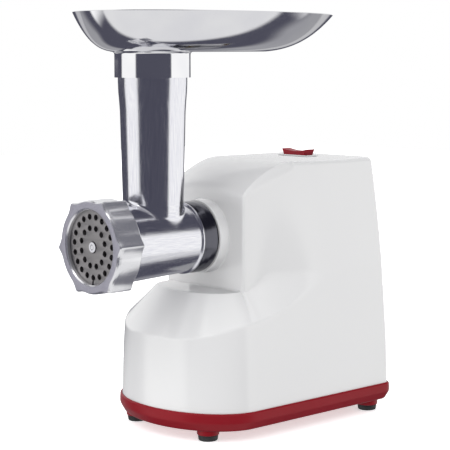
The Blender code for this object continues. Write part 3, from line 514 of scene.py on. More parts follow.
def nose_points(width, start_y, tip_y, power, height):
    """Points round the nose, from its tip to where it meets the side."""
    points = []
    for i in range(NOSE_STEPS + 1):
        turn = math.pi / 2 * i / NOSE_STEPS
        x = width * math.sin(turn) ** (2 / power)
        y = start_y + (tip_y - start_y) * math.cos(turn) ** (2 / power)
        points.append((x, y, height(x)))
    return points


def bridge(front, side, quarter):
    """Points between the front's last and the side's first: a quarter turn, or straight."""
    (ax, ay, az), (bx, by, bz) = front[-1], side[0]
    points = []
    for i in range(1, ARRIS_STEPS):
        t = i / ARRIS_STEPS
        turn = math.pi / 2 * t
        across = math.sin(turn) if quarter else t
        along = 1 - math.cos(turn) if quarter else t
        points.append((mix(ax, bx, across), mix(ay, by, along), mix(az, bz, t)))
    return points


def half_ring(front, side, quarter):
    return [Vector(p) for p in front + bridge(front, side, quarter) + side]


def level_half(z, inset=0.0):
    """A flat half ring of the lower body's D shape."""
    tip = FRONT_Y + inset + FRONT_LEAN * (z - SEAM_Z)
    nose = nose_points(side_width(z) - inset, NOSE_Y, tip, 2.0, lambda x: z)
    side = side_points(WALL_Y, lambda y: side_width(z) - inset, lambda y: z, inset)
    return half_ring(nose, side, False)


def crease_height(y):
    return CREASE_Z + 0.013 + 0.034 * ease((y - NOSE_Y) / 0.120)


def crease_half():
    """The top edge of the upright lower wall: level round the nose, climbing along the side."""
    nose = nose_points(side_width(CREASE_Z + 0.013), NOSE_Y, FRONT_Y + 0.001, 2.0,
                       lambda x: CREASE_Z + 0.013 * (x / side_width(CREASE_Z)) ** 4)
    side = side_points(WALL_Y, lambda y: side_width(crease_height(y)), crease_height)
    return half_ring(nose, side, False)


def shoulder_height(y):
    return SHELF_Z + 0.013 * ease((y - WALL_Y) / 0.030)


def shoulder_side():
    return side_points(WALL_Y + EDGE, lambda y: tower_width(y, shoulder_height(y)), shoulder_height)


def shelf_half():
    """The shelf's outline, carried on along the foot of the tower's side."""
    nose = nose_points(SHELF_W - EDGE, WALL_Y, SHELF_Y, SHELF_POWER, lambda x: SHELF_Z)
    return half_ring(nose, shoulder_side(), True)


def wall_foot_half():
    """The front wall's foot across the shelf; the rest repeats the shelf's outline."""
    shelf = nose_points(SHELF_W - EDGE, WALL_Y, SHELF_Y, SHELF_POWER, lambda x: 0.0)
    return half_ring([(x, WALL_Y, SHELF_Z) for x, y, z in shelf], shoulder_side(), True)


def tower_half(front_z, side_z):
    """A ring of the tower. Above ARC_Z its front leans back, more at the edges than in the middle."""
    rise = min(max((front_z - ARC_Z) / (TOP_Z - ARC_Z), 0.0), 1.0)
    bow = 1 - math.sqrt(max(1 - rise * rise, 0.0))
    soft = math.sqrt(rise * rise + 0.0225) - 0.15
    soft /= math.sqrt(1.0225) - 0.15
    lean = TOP_Y - WALL_Y
    middle = WALL_Y + lean * bow
    edge = WALL_Y + lean * (bow + soft) / 2
    front = []
    for i in range(NOSE_STEPS + 1):
        share = math.sin(math.pi / 2 * i / NOSE_STEPS) ** (2 / SHELF_POWER)
        front.append(((WALL_W - EDGE) * share, middle + (edge - middle) * share ** 3, front_z))
    side = side_points(edge + EDGE, lambda y: tower_width(y, side_z), lambda y: side_z)
    return half_ring(front, side, True)


def housing_halves():
    """The vertex rings of one half, and the rounding radius of each, a function of the point."""
    def near_nose(p, tight, wide):
        return mix(tight, wide, ease((p.y - 0.010) / 0.060))
    rings = [(level_half(SEAM_Z, 0.0006), None), (level_half(SEAM_Z + 0.0006), None)]
    rings += [(level_half(z), None) for z in (0.030, 0.040, 0.050, 0.060, 0.068)]
    rings.append((crease_half(), lambda p: near_nose(p, 0.0050, 0.0400)))
    rings.append((shelf_half(), lambda p: 0.0024))
    rings.append((wall_foot_half(), lambda p: mix(0.0022, 0.0300, ease((p.y - WALL_Y - 0.004) / 0.040))))
    for z in (0.136, 0.142, 0.150, 0.160, 0.170, 0.180, 0.190, ARC_Z - 0.0001):
        rings.append((tower_half(z, z), None))
    steps = 18
    side_top = TOP_Z - 0.0075
    for i in range(1, steps + 1):
        front_z = ARC_Z + (TOP_Z - ARC_Z) * math.sin(math.pi / 2 * i / (steps + 1))
        side_z = mix(ARC_Z, side_top, i / steps)
        rings.append((tower_half(front_z, side_z), None))
    rings.append((tower_half(TOP_Z, TOP_Z), lambda p: 0.0050))
    return rings


def set_back(shelf, foot, crease):
    """Where shelf and foot fall together, the shelf point moves down the slope, to leave the fillet room."""
    for i, point in enumerate(shelf):
        slope = crease[i] - foot[i]
        least = 0.0006 + 0.0140 * ease((foot[i].y - WALL_Y) / 0.030)
        least = min(least, slope.length * 0.5)
        if (point - foot[i]).length < least:
            shelf[i] = foot[i] + slope.normalized() * least


def housing_columns():
    """The half's surface as lines from the seam up to near the top's middle, with its edges rounded."""
    rings = housing_halves()
    halves = [ring for ring, radius in rings]
    crease, shelf, foot = halves[7], halves[8], halves[9]
    on_slope = [(a - b).length < 1e-6 for a, b in zip(shelf, foot)]
    set_back(shelf, foot, crease)
    columns = []
    for i in range(len(crease)):
        points = [half[i] for half in halves]
        radii = [None if radius is None else radius(p) for (half, radius), p in zip(rings, points)]
        if on_slope[i]:
            radii[8] = 0.0005
        top = points[-1]
        inner = Vector((top.x * 0.88, mix(top.y, 0.085, 0.10), TOP_Z))
        line = rounded(points + [inner, inner.lerp(Vector((0.0, 0.085, TOP_Z)), 0.25)],
                       radii + [None, None], 7)
        columns.append(line)
    return columns


def mirrored_rings(columns):
    """Closed rings from the columns of the half with x >= 0, front middle first and back middle last."""
    rings = []
    for row in range(len(columns[0])):
        half = [column[row] for column in columns]
        other = [Vector((-p.x, p.y, p.z)) for p in reversed(half[1:-1])]
        rings.append(half + other)
    return rings


def thicken(obj, thickness):
    shell = obj.modifiers.new("shell", "SOLIDIFY")
    shell.thickness = thickness
    shell.offset = -1.0
    shell.use_even_offset = True
    shell.use_quality_normals = True


def cutter(name, radius, start, end, xz, columns=72):
    profile = [(0.0, start), (radius, start), (radius, end), (0.0, end)]
    return turned(name, profile, plain, (xz[0], 0.0, xz[1]), "Y", columns)


def box_cutter(name, low, high):
    def build(bm):
        bmesh.ops.create_cube(bm, size=1.0)
        bmesh.ops.scale(bm, vec=[b - a for a, b in zip(low, high)], verts=bm.verts)
        bmesh.ops.translate(bm, vec=[(a + b) / 2 for a, b in zip(low, high)], verts=bm.verts)
    return new_object(name, build, plain)


def make_housing():
    def build(bm):
        skin(bm, mirrored_rings(housing_columns()), close_last=True)
    housing = new_object("housing", build, white, 40.0)
    thicken(housing, SHELL)
    bake(housing, 40.0)
    boolean(housing, [cutter("socket_cut", SOCKET_R + 0.001, WALL_Y - 0.004, WALL_Y + 0.008, (0.0, AXIS_Z)),
                      cutter("button_cut", 0.0064, WALL_Y - 0.01, WALL_Y + 0.008, (BUTTON_X, BUTTON_Z), 48),
                      cutter("gland_cut", 0.0066, BACK_Y - 0.015, BACK_Y + 0.01, (0.0, GLAND_Z), 48),
                      box_cutter("switch_cut", (-0.0169, SWITCH_Y - 0.0069, TOP_Z - 0.01),
                                 (0.0169, SWITCH_Y + 0.0069, TOP_Z + 0.01))], "DIFFERENCE")
    finished(housing, "body", "white_plastic", "housing_shell")

    foot = WALL_Y - 0.00005
    points = [(BOSS_R + 0.0012, foot), (BOSS_R + 0.0002, foot - 0.0002), (BOSS_R - 0.0002, BOSS_Y),
              (SOCKET_R, BOSS_Y), (SOCKET_R, WALL_Y + 0.0026), (BOSS_R + 0.0012, WALL_Y + 0.0026),
              (BOSS_R + 0.0012, foot)]
    radii = [None, 0.0010, 0.0010, 0.0008, None, None, None]
    profile = smooth_profile(points, radii, 6)[:-1]
    boss = turned("head_socket", profile, white, (0.0, 0.0, AXIS_Z), columns=128, closed=True)
    finished(boss, "body", "white_plastic", "housing_shell")


# ---- base, feet, switch, button, gland
def make_base():
    tops = [(level_half(SEAM_Z - GAP, 0.0008), None), (level_half(SEAM_Z - GAP - 0.0007, 0.0002), None),
            (level_half(0.0205), None), (level_half(0.0175), 0.0030), (level_half(BASE_Z, 0.0035), 0.0014),
            (level_half(BASE_Z, 0.0120), None)]
    columns = []
    for i in range(len(tops[0][0])):
        points = [ring[i].copy() for ring, radius in tops]
        columns.append(rounded(points, [radius for ring, radius in tops], 6))

    def build(bm):
        skin(bm, mirrored_rings(columns), close_last=True)
        bmesh.ops.reverse_faces(bm, faces=bm.faces)
    base = new_object("base", build, red, 40.0)
    thicken(base, SHELL)
    bake(base, 40.0)
    posts = []
    for name, (x, y) in FEET.items():
        profile = smooth_profile([(0.0, 0.0050), (0.0093, 0.0050), (0.0095, BASE_Z + 0.0004),
                                  (0.0088, BASE_Z + 0.0012), (0.0, BASE_Z + 0.0012)],
                                 [None, 0.0008, None, None, None])
        posts.append(turned("post_" + name, profile, red, (x, y, 0.0), "Z", 48))
    boolean(base, posts, "UNION")
    finished(base, "body", "red_plastic", "base_tray")


def make_feet():
    pad_r, pad_h = 0.0085, 0.0047
    for name, (x, y) in FEET.items():
        points = [(0.0, 0.0), (pad_r - 0.0030, 0.0), (pad_r - 0.0006, 0.0002), (pad_r, pad_h),
                  (0.0030, pad_h), (0.0030, pad_h + 0.0045), (0.0, pad_h + 0.0045)]
        radii = [None, 0.0004, 0.0012, 0.0006, 0.0002, 0.0005, None]
        pad = turned(name + "_pad", smooth_profile(points, radii), rubber, (x, y, 0.0), "Z", 56)
        finished(pad, "body", "rubber", name)


def plate_piece(name, outlines, start, end, finish, bevel, where, steps):
    """Flat outlines in XZ, holes among them, from start to end along Y, with small rounded edges."""
    curve = bpy.data.curves.new(name, "CURVE")
    curve.dimensions = "2D"
    curve.fill_mode = "BOTH"
    curve.extrude = (end - start) / 2 - bevel
    curve.bevel_depth = bevel
    curve.bevel_resolution = steps
    curve.offset = -bevel
    for outline in outlines:
        spline = curve.splines.new("POLY")
        spline.points.add(len(outline) - 1)
        for point, (x, z) in zip(spline.points, outline):
            point.co = (x, z, 0.0, 1.0)
        spline.use_cyclic_u = True
    flat = bpy.data.objects.new(name + "_flat", curve)
    bpy.context.scene.collection.objects.link(flat)
    bpy.context.view_layer.update()
    mesh = bpy.data.meshes.new_from_object(flat.evaluated_get(bpy.context.evaluated_depsgraph_get()))
    bpy.data.objects.remove(flat, do_unlink=True)
    bpy.data.curves.remove(curve)
    bm = bmesh.new()
    bm.from_mesh(mesh)
    bmesh.ops.remove_doubles(bm, verts=bm.verts, dist=0.000001)
    turn = Matrix.Rotation(math.pi / 2, 4, "X")
    middle = Vector((where[0], where[1] + (start + end) / 2, where[2]))
    bmesh.ops.transform(bm, matrix=Matrix.Translation(middle) @ turn, verts=bm.verts)
    bmesh.ops.recalc_face_normals(bm, faces=bm.faces)
    bm.to_mesh(mesh)
    bm.free()
    mesh.materials.clear()
    mesh.materials.append(finish)
    mesh.name = name
    obj = bpy.data.objects.new(name, mesh)
    bpy.context.scene.collection.objects.link(obj)
    soften(mesh, 30.0)
    return obj


def circle(radius, count, centre=(0.0, 0.0), phase=0.0):
    points = []
    for i in range(count):
        turn = phase + 2 * math.pi * i / count
        points.append((centre[0] + radius * math.cos(turn), centre[1] + radius * math.sin(turn)))
    return points


def bevelled(obj, width):
    step = obj.modifiers.new("bevel", "BEVEL")
    step.width = width
    step.segments = 3
    step.limit_method = "ANGLE"
    step.angle_limit = math.radians(30.0)
    bake(obj, 30.0)


def make_switch():
    low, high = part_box("switch_frame")
    bezel = box_cutter("switch_bezel", (low.x, low.y, TOP_Z + GAP), (high.x, high.y, high.z))
    bezel.data.materials[0] = white
    lip = 0.0013                # how far the bezel's flange stands out round its body
    body = box_cutter("switch_body", (low.x + lip, low.y + lip, TOP_Z - 0.0150),
                      (high.x - lip, high.y - lip, TOP_Z + 0.0008))
    boolean(bezel, [body], "UNION")
    rocker_low, rocker_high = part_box("switch_rocker")
    clear = 0.0004
    well = box_cutter("switch_well", (rocker_low.x - clear, rocker_low.y - clear, TOP_Z - 0.0140),
                      (rocker_high.x + clear, rocker_high.y + clear, TOP_Z + 0.01))
    boolean(bezel, [well], "DIFFERENCE")
    bevelled(bezel, 0.0003)
    finished(bezel, "body", "white_plastic", "switch_frame")

    pivot = TOP_Z - 0.0080
    half = (rocker_high.x - rocker_low.x) / 2
    depth = 0.0018              # of the dished top
    steps = 24
    top = []
    for i in range(steps + 1):
        across = 1 - 2 * i / steps
        top.append((half * across, rocker_high.z - pivot - depth * (1 - across * across)))
    neck = half - 0.0024
    outline = [(0.0045, -0.0045), (neck - 0.0020, 0.0050), (neck, 0.0095)] + top
    outline += [(-neck, 0.0095), (0.0020 - neck, 0.0050), (-0.0045, -0.0045)]
    rocker = plate_piece("rocker", [outline], rocker_low.y, rocker_high.y, switch_red, 0.0005,
                         (0.0, 0.0, pivot), 3)
    finished(rocker, "rocker", "red_plastic", "switch_rocker")


def make_button():
    low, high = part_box("lock_button")
    radius = (high.x - low.x) / 2
    stem = 0.0060
    flange = high.y - 0.0020
    points = [(0.0, low.y), (stem - 0.0012, low.y), (stem, low.y + 0.0014), (stem, flange), (radius, flange),
              (radius, high.y), (0.0, high.y)]
    radii = [None, 0.0012, 0.0010, 0.0003, 0.0003, 0.0003, None]
    button = turned("release_button", smooth_profile(points, radii), switch_red, (BUTTON_X, 0.0, BUTTON_Z))
    finished(button, "button", "red_plastic", "lock_button")


def make_gland():
    low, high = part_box("cord_gland")
    face, wall = high.y, back_y(GLAND_Z)
    points = [(0.0042, low.y), (0.0063, low.y), (0.0063, wall + 0.0006), (0.0090, wall + 0.0006),
              (0.0086, face), (0.0042, face)]
    radii = [None, 0.0005, 0.0003, 0.0005, 0.0008, None]
    profile = smooth_profile(points, radii)
    gland = turned("inlet_gland", profile, rubber, (0.0, 0.0, GLAND_Z), columns=72, closed=True)
    finished(gland, "body", "rubber", "cord_gland")


# ---- grinding head
BARREL_COLUMNS = 144
PATCH_HALF = 30             # columns each side of the top that the feed tube's patch takes in
PATCH_FRONT, PATCH_BACK = -0.1060, -0.0448
PATCH_ROWS = 30
THREAD_R = 0.0338
THREAD_END = -0.1162
THREAD_PITCH = 0.0040


def barrel_radius(y):
    """Outer radius of the barrel's plain cone."""
    return mix(0.0318, 0.0290, (y + 0.1060) / 0.0620)


def tube_radius(z):
    """Outer radius of the feed tube."""
    if z > 0.2930:
        return TUBE_TOP_R
    if z > 0.2650:
        return mix(TUBE_TOP_R - 0.0016, TUBE_TOP_R, ease((z - 0.2650) / 0.0280))
    return mix(TUBE_FOOT_R, TUBE_TOP_R - 0.0016, max(z - 0.1900, 0.0) / 0.0750)


def on_barrel(y, turn, radius):
    return Vector((radius * math.sin(turn), y, AXIS_Z + radius * math.cos(turn)))


def patch_border():
    """(y, turn) round the patch's rectangle, anticlockwise from above, starting at its +X, front corner."""
    step = 2 * math.pi / BARREL_COLUMNS
    edge = PATCH_HALF * step
    rows = [i / PATCH_ROWS for i in range(PATCH_ROWS)]
    turns = [i * step for i in range(2 * PATCH_HALF)]
    return ([(mix(PATCH_FRONT, PATCH_BACK, t), edge) for t in rows]
            + [(PATCH_BACK, edge - turn) for turn in turns]
            + [(mix(PATCH_BACK, PATCH_FRONT, t), -edge) for t in rows]
            + [(PATCH_FRONT, turn - edge) for turn in turns])


def tube_skin(radius_of, tube_radius_of, reach_of, levels):
    """Rings from the patch's border over the barrel, up the fillet, to the top of the feed tube."""
    border = patch_border()
    middle = (PATCH_FRONT + PATCH_BACK) / 2
    half_patch, patch_turn = 0.0306, 1.309
    angles = [math.atan2((y - middle) / half_patch, turn / patch_turn) for y, turn in border]
    foot_r = tube_radius_of(AXIS_Z)

    def on_tube(radius, angle, z):
        return Vector((radius * math.cos(angle), TUBE_Y + radius * math.sin(angle), z))

    def surface(rho, angle):
        """Height of the barrel's surface over its axis, at a distance from the tube's axis."""
        place = on_tube(rho, angle, 0.0)
        radius = radius_of(place.y)
        return math.sqrt(max(radius * radius - place.x * place.x, 1e-9))
    rings = []
    over = 7                    # rings from the border to the fillet's foot
    for k in range(over):
        ring = []
        for (y, turn), angle in zip(border, angles):
            rho = foot_r + reach_of(angle)
            end_y = TUBE_Y + rho * math.sin(angle)
            end_turn = math.asin(rho * math.cos(angle) / radius_of(end_y))
            here_y = mix(y, end_y, k / over)
            ring.append(on_barrel(here_y, mix(turn, end_turn, k / over), radius_of(here_y)))
        rings.append(ring)
    bend = 8                    # steps up the fillet
    for k in range(bend + 1):
        t = k / bend
        a, b, c = (1 - t) ** 2, 2 * t * (1 - t) * 0.75, t * t
        ring = []
        for angle in angles:
            reach = reach_of(angle)
            rho = foot_r + reach
            end = surface(rho, angle)
            slope = (surface(rho + 0.0001, angle) - surface(rho - 0.0001, angle)) / 0.0002
            corner = end - slope * reach
            r = (rho * a + foot_r * (b + c)) / (a + b + c)
            z = (end * a + corner * b + (corner + reach) * c) / (a + b + c)
            ring.append(on_tube(r, angle, AXIS_Z + z))
        rings.append(ring)
    last = rings[-1]
    for k in (1, 2, 3, 4):
        heights = [mix(point.z, levels[0], k / 4) for point in last]
        rings.append([on_tube(tube_radius_of(z), angle, z) for z, angle in zip(heights, angles)])
    for z in levels[1:]:
        rings.append([on_tube(tube_radius_of(z), angle, z) for angle in angles])
    return rings


def barrel_rows():
    """(radius, y) of the barrel's outside and inside, as one closed loop; the outside runs to the back first.
    The rows between PATCH_FRONT and PATCH_BACK, both ways, are straight and even."""
    start = BARREL_FRONT + 0.0012
    thread_rows = 40
    patch_rows = [mix(PATCH_FRONT, PATCH_BACK, i / PATCH_ROWS) for i in range(PATCH_ROWS + 1)]
    corners = [(BARREL_BORE, BARREL_FRONT, None), (0.0334, BARREL_FRONT, 0.0006), (THREAD_R, start, None)]
    corners += [(THREAD_R, mix(start, THREAD_END, i / thread_rows), None) for i in range(1, thread_rows)]
    corners += [(THREAD_R, -0.1158, None), (0.0322, -0.1145, 0.0010), (0.0319, -0.1100, None)]
    corners += [(barrel_radius(y), y, None) for y in patch_rows]
    corners += [(barrel_radius(-0.0442), -0.0442, None), (0.0290, -0.0440, 0.0004), (0.0303, -0.0434, 0.0006),
                (0.0303, -0.0420, 0.0006), (0.0296, -0.0411, 0.0008), (0.0300, -0.0385, 0.0060),
                (0.0303, -0.0330, 0.0200), (0.0301, -0.0275, 0.0060), (0.0290, -0.0253, 0.0012),
                (SPIGOT_R, -0.0253, 0.0004), (SPIGOT_R, SPIGOT_END - 0.0002, 0.0006),
                (0.0190, SPIGOT_END - 0.0002, 0.0004), (0.0190, -0.0205, None), (0.0104, -0.0205, 0.0004),
                (0.0104, -0.0340, 0.0004), (0.0245, -0.0340, 0.0006), (BARREL_BORE, -0.0350, None)]
    corners += [(BARREL_BORE, y, None) for y in reversed(patch_rows)]
    corners += [(BARREL_BORE, -0.1180, None), (BARREL_BORE, BARREL_FRONT, None)]
    points = [Vector((radius, y)) for radius, y, rounding in corners]
    return rounded(points, [rounding for radius, y, rounding in corners], 4)[:-1]


def thread_lift(y, turn):
    """How far the thread's surface lies from THREAD_R at a place on the barrel's front."""
    start = BARREL_FRONT + 0.0012
    if not start < y < THREAD_END:
        return 0.0
    fade = min((y - start) / 0.0015, (THREAD_END - y) / 0.0020, 1.0)
    phase = ((y - BARREL_FRONT) / THREAD_PITCH - turn / (2 * math.pi)) % 1.0
    ridge = ease(min(phase, 1 - phase) * 2 / 0.8)
    return -0.0008 * (1 - ridge) * fade


def make_head():
    rows = barrel_rows()
    step = 2 * math.pi / BARREL_COLUMNS

    def inside_patch(a, b, column):
        """Whether the quad between rows a and b at a column belongs to a patch."""
        span = sorted((rows[a].y, rows[b].y))
        between = span[0] > PATCH_FRONT - 1e-6 and span[1] < PATCH_BACK + 1e-6
        turned_in = column < PATCH_HALF or column >= BARREL_COLUMNS - PATCH_HALF
        return between and turned_in

    def build(bm):
        grid = []
        for row in rows:
            ring = []
            for i in range(BARREL_COLUMNS):
                turn = i * step
                radius = row.x + (thread_lift(row.y, turn) if row.x > 0.033 else 0.0)
                ring.append(bm.verts.new(on_barrel(row.y, turn, radius)))
            grid.append(ring)
        for a in range(len(grid)):
            b = (a + 1) % len(grid)
            for i in range(BARREL_COLUMNS):
                if inside_patch(a, b, i):
                    continue
                j = (i + 1) % BARREL_COLUMNS
                bm.faces.new((grid[a][i], grid[a][j], grid[b][j], grid[b][i]))
        known = {}
        for ring in grid:
            for v in ring:
                known[tuple(round(c * 1e6) for c in v.co)] = v

        def reach_out(angle):
            toward_back = max(math.sin(angle), 0.0) ** 4
            across = math.cos(angle) ** 2
            return mix(mix(0.0036, 0.0026, across), 0.0019, toward_back)
        lip = TUBE_TOP - 0.0006     # the tube's rim is rounded above this height
        levels = [0.2050 + 0.0080 * i for i in range(12)] + [0.2970, 0.3020, 0.3080, 0.3130, lip]
        outer = tube_skin(barrel_radius, tube_radius, reach_out, levels)
        inner = tube_skin(lambda y: BARREL_BORE, lambda z: tube_radius(z) - TUBE_WALL,
                          lambda angle: 0.0010, levels)

        def rim_ring(amount, z):
            made = []
            for p in outer[-1]:
                flat = Vector((p.x, p.y - TUBE_Y, 0.0))
                flat = flat.normalized() * (flat.length - amount)
                made.append(Vector((flat.x, flat.y + TUBE_Y, z)))
            return made
        rim = [rim_ring(0.0002, TUBE_TOP - 0.0002), rim_ring(0.0006, TUBE_TOP),
               rim_ring(TUBE_WALL - 0.0006, TUBE_TOP), rim_ring(TUBE_WALL - 0.0002, TUBE_TOP - 0.0002)]
        fill_between(bm, shared_rows(bm, outer + rim + list(reversed(inner)), known, 1e6))
        loose = [v for v in bm.verts if not v.link_faces]
        bmesh.ops.delete(bm, geom=loose, context="VERTS")
        bmesh.ops.recalc_face_normals(bm, faces=bm.faces)
    head = new_object("barrel_and_tube", build, casting, 32.0)
    finished(head, "head", "polished_aluminium", "grinder_head")


RING_TURN = math.radians(5.0)       # the first lug stands this far above +X


def lug_ring(radius, peak, y, columns=264):
    """A ring of the nut; each lug is a ridge with hollow flanks and a narrow rounded crest."""
    ring = []
    for i in range(columns):
        turn = 2 * math.pi * i / columns + RING_TURN
        degrees = 360.0 * i / columns % 60.0
        away = min(degrees, 60.0 - degrees)
        crest = math.sqrt(away * away + 0.8 ** 2) - 0.8
        rise = max(0.0, 1 - crest / 15.0) ** 2.2
        r = radius + (peak - radius) * rise
        ring.append(Vector((r * math.cos(turn), y, AXIS_Z + r * math.sin(turn))))
    return ring


def make_ring_nut():
    front, back = ring_low.y, ring_high.y
    mouth, pocket, bore = 0.0300, 0.0314, 0.0343
    face, body, lug = 0.0362, 0.0378, ring_high.x
    plate_front, plate_back = plate_low.y - GAP, plate_high.y - 0.0004
    rows = [(bore, bore, back, None), (bore + 0.0008, bore + 0.0008, back, 0.0003),
            (body - 0.0008, lug - 0.0010, back, 0.0005), (body, lug - 0.0002, back - 0.0010, 0.0010),
            (body + 0.0001, lug, mix(back, front, 0.5), None), (body, lug, front + 0.0040, 0.0020),
            (body - 0.0002, lug - 0.0002, front + 0.0016, 0.0008), (face, lug - 0.0014, front, 0.0005),
            (mouth + 0.0014, mouth + 0.0014, front, 0.0003), (mouth, mouth, front + 0.0014, 0.0004),
            (mouth, mouth, plate_front, None), (pocket, pocket, plate_front, None),
            (pocket, pocket, plate_back, None), (bore, bore, plate_back, None)]
    rings = [lug_ring(r, peak, y) for r, peak, y, radius in rows]
    radii = [radius for r, peak, y, radius in rows]
    columns = []
    for i in range(len(rings[0])):
        points = [ring[i] for ring in rings]
        columns.append(rounded(points + [points[0]], radii + [None], 4)[:-1])

    def build(bm):
        count = len(columns[0])
        skin(bm, [[column[row] for column in columns] for row in range(count)], wrap=True)
    nut = new_object("ring_nut_cast", build, nut_metal, 40.0)
    finished(nut, "ring", "polished_aluminium", "ring_nut")


def make_plate():
    radius = plate_high.x
    notch = 0.0014
    rim = [p for p in circle(radius, 180) if not (abs(p[0]) < notch and p[1] < 0)]
    where = next(i for i, p in enumerate(rim) if p[1] < 0 and p[0] > 0)
    low, deep = 0.0001 - radius, -0.0274
    rim[where:where] = [(-notch, low), (-notch, deep), (notch, deep), (notch, low)]
    holes = [circle(0.0047, 48)]
    for row, count in ((0.0245, 19), (0.0155, 12)):
        phase = math.pi / 2 + math.pi / count
        holes += [circle(0.0024, 28, centre) for centre in circle(row, count, phase=phase)]
    plate = plate_piece("mincing_plate", [rim] + holes, plate_low.y, plate_high.y, plate_metal, 0.00025,
                        (0.0, 0.0, AXIS_Z), 2)
    finished(plate, "plate", "plate_steel", "cutting_plate")


# ---- hopper tray
def make_tray():
    collar_r, floor, rim_z = 0.0299, 0.3184, tray_high.z
    fillet = 0.0032             # from the collar into the dish
    sheet = 0.0011
    centre_y = (tray_low.y + tray_high.y) / 2
    half_long = (tray_high.y - tray_low.y) / 2 - sheet
    half_wide = (tray_high.x - tray_low.x) / 2 - sheet
    columns = 160
    angles = [2 * math.pi * i / columns for i in range(columns)]

    def round_ring(radius, z):
        return [Vector((radius * math.cos(a), TUBE_Y + radius * math.sin(a), z)) for a in angles]

    def oval(share, z):
        """An oval that grows from the tube's axis towards the tray's own middle."""
        centre = TUBE_Y + (centre_y - TUBE_Y) * share ** 0.8
        return [Vector((half_wide * share * math.cos(a), centre + half_long * share * math.sin(a), z))
                for a in angles]
    rings = [round_ring(collar_r, z) for z in (tray_low.z, 0.3030, 0.3100)]
    for k in range(9):
        turn = math.pi / 2 * k / 8
        out, down = fillet * (1 - math.cos(turn)), fillet * (1 - math.sin(turn))
        rings.append(round_ring(collar_r + out, floor - down))
    first = 0.60
    count = 34
    for k in range(count + 1):
        share = mix(first, 1.0, (k / count) ** 0.85)
        rise = ((share - 0.5) / 0.5) ** 2.6
        rings.append(oval(share, floor + (rim_z - sheet - floor) * rise))
    tray = new_object("oval_tray", lambda bm: skin(bm, rings), tray_metal, 50.0)
    thicken(tray, sheet)
    finished(tray, "tray", "tray_aluminium", "hopper_tray")
    bake(tray, 50.0)


# ---- auger nose
def make_auger_nose():
    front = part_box("auger")[0].y
    points = [(0.0, front + 0.0009), (0.0010, front + 0.0006), (0.0017, front - 0.0003),
              (0.0043, front + 0.0008), (0.0043, -0.1300), (0.0, -0.1300)]
    nose = turned("auger_nose", smooth_profile(points, [None, 0.0008, 0.0010, 0.0016, None, None]), pin_metal,
                  (0.0, 0.0, AXIS_Z), columns=64)
    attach(nose, "screw")


# ---- camera, light and floor
CAMERA_AZIMUTH = math.radians(47.506)
CAMERA_DIP = math.radians(6.528)
CAMERA_AWAY = 1.2607
CAMERA_TARGET = Vector((0.0, 0.0080, 0.1694))


def set_around(obj, azimuth, elevation, target, distance):
    """Places the object at an angle round the target, azimuth 0 being -Y, and points it there."""
    across = math.cos(elevation)
    away = Vector((math.sin(azimuth) * across, -math.cos(azimuth) * across, math.sin(elevation)))
    obj.location = target + away * distance
    obj.rotation_euler = (-away).to_track_quat("-Z", "Y").to_euler()
    bpy.context.scene.collection.objects.link(obj)


def make_camera():
    camera = bpy.data.cameras.new("camera")
    camera.sensor_width = 36.0
    camera.lens = 117.14
    obj = bpy.data.objects.new("camera", camera)
    set_around(obj, CAMERA_AZIMUTH, CAMERA_DIP, CAMERA_TARGET, CAMERA_AWAY)
    bpy.context.scene.camera = obj


def soft_sun(name, azimuth, elevation, strength, spread=70.0, in_gloss=False):
    """A broad, even light at an angle round the object."""
    light = bpy.data.lights.new(name, "SUN")
    light.angle = math.radians(spread)
    light.energy = strength
    obj = bpy.data.objects.new(name, light)
    set_around(obj, math.radians(azimuth), math.radians(elevation), Vector(), 2.0)
    obj.visible_camera = False
    obj.visible_glossy = in_gloss


# Soft boxes that only reflections see: azimuths round the camera's line of sight, elevations, brightness, and
# how softly the sides and the top and bottom fade, in degrees.
SOFT_BOXES = (
    ((61.0, 128.0), (-28.0, 20.0), 1.08, 3.0, 5.0),
    ((120.0, 151.0), (-18.0, 20.0), 1.08, 4.0, 5.0),
    ((-103.0, -49.0), (-38.0, 70.0), 1.08, 3.0, 6.0),
    ((126.0, 178.0), (-38.0, -17.0), 0.30, 10.0, 5.0),
    ((-178.0, -122.0), (-38.0, -17.0), 0.30, 10.0, 5.0),
    ((128.0, 400.0), (-20.0, -11.0), 0.50, 8.0, 2.0),
    ((-400.0, -128.0), (-20.0, -11.0), 0.50, 8.0, 2.0),
    ((140.0, 400.0), (1.0, 44.0), 0.78, 6.0, 2.0),
    ((-400.0, -125.0), (1.0, 44.0), 0.78, 6.0, 2.0),
    ((-400.0, 400.0), (58.0, 120.0), 0.60, 3.0, 14.0))


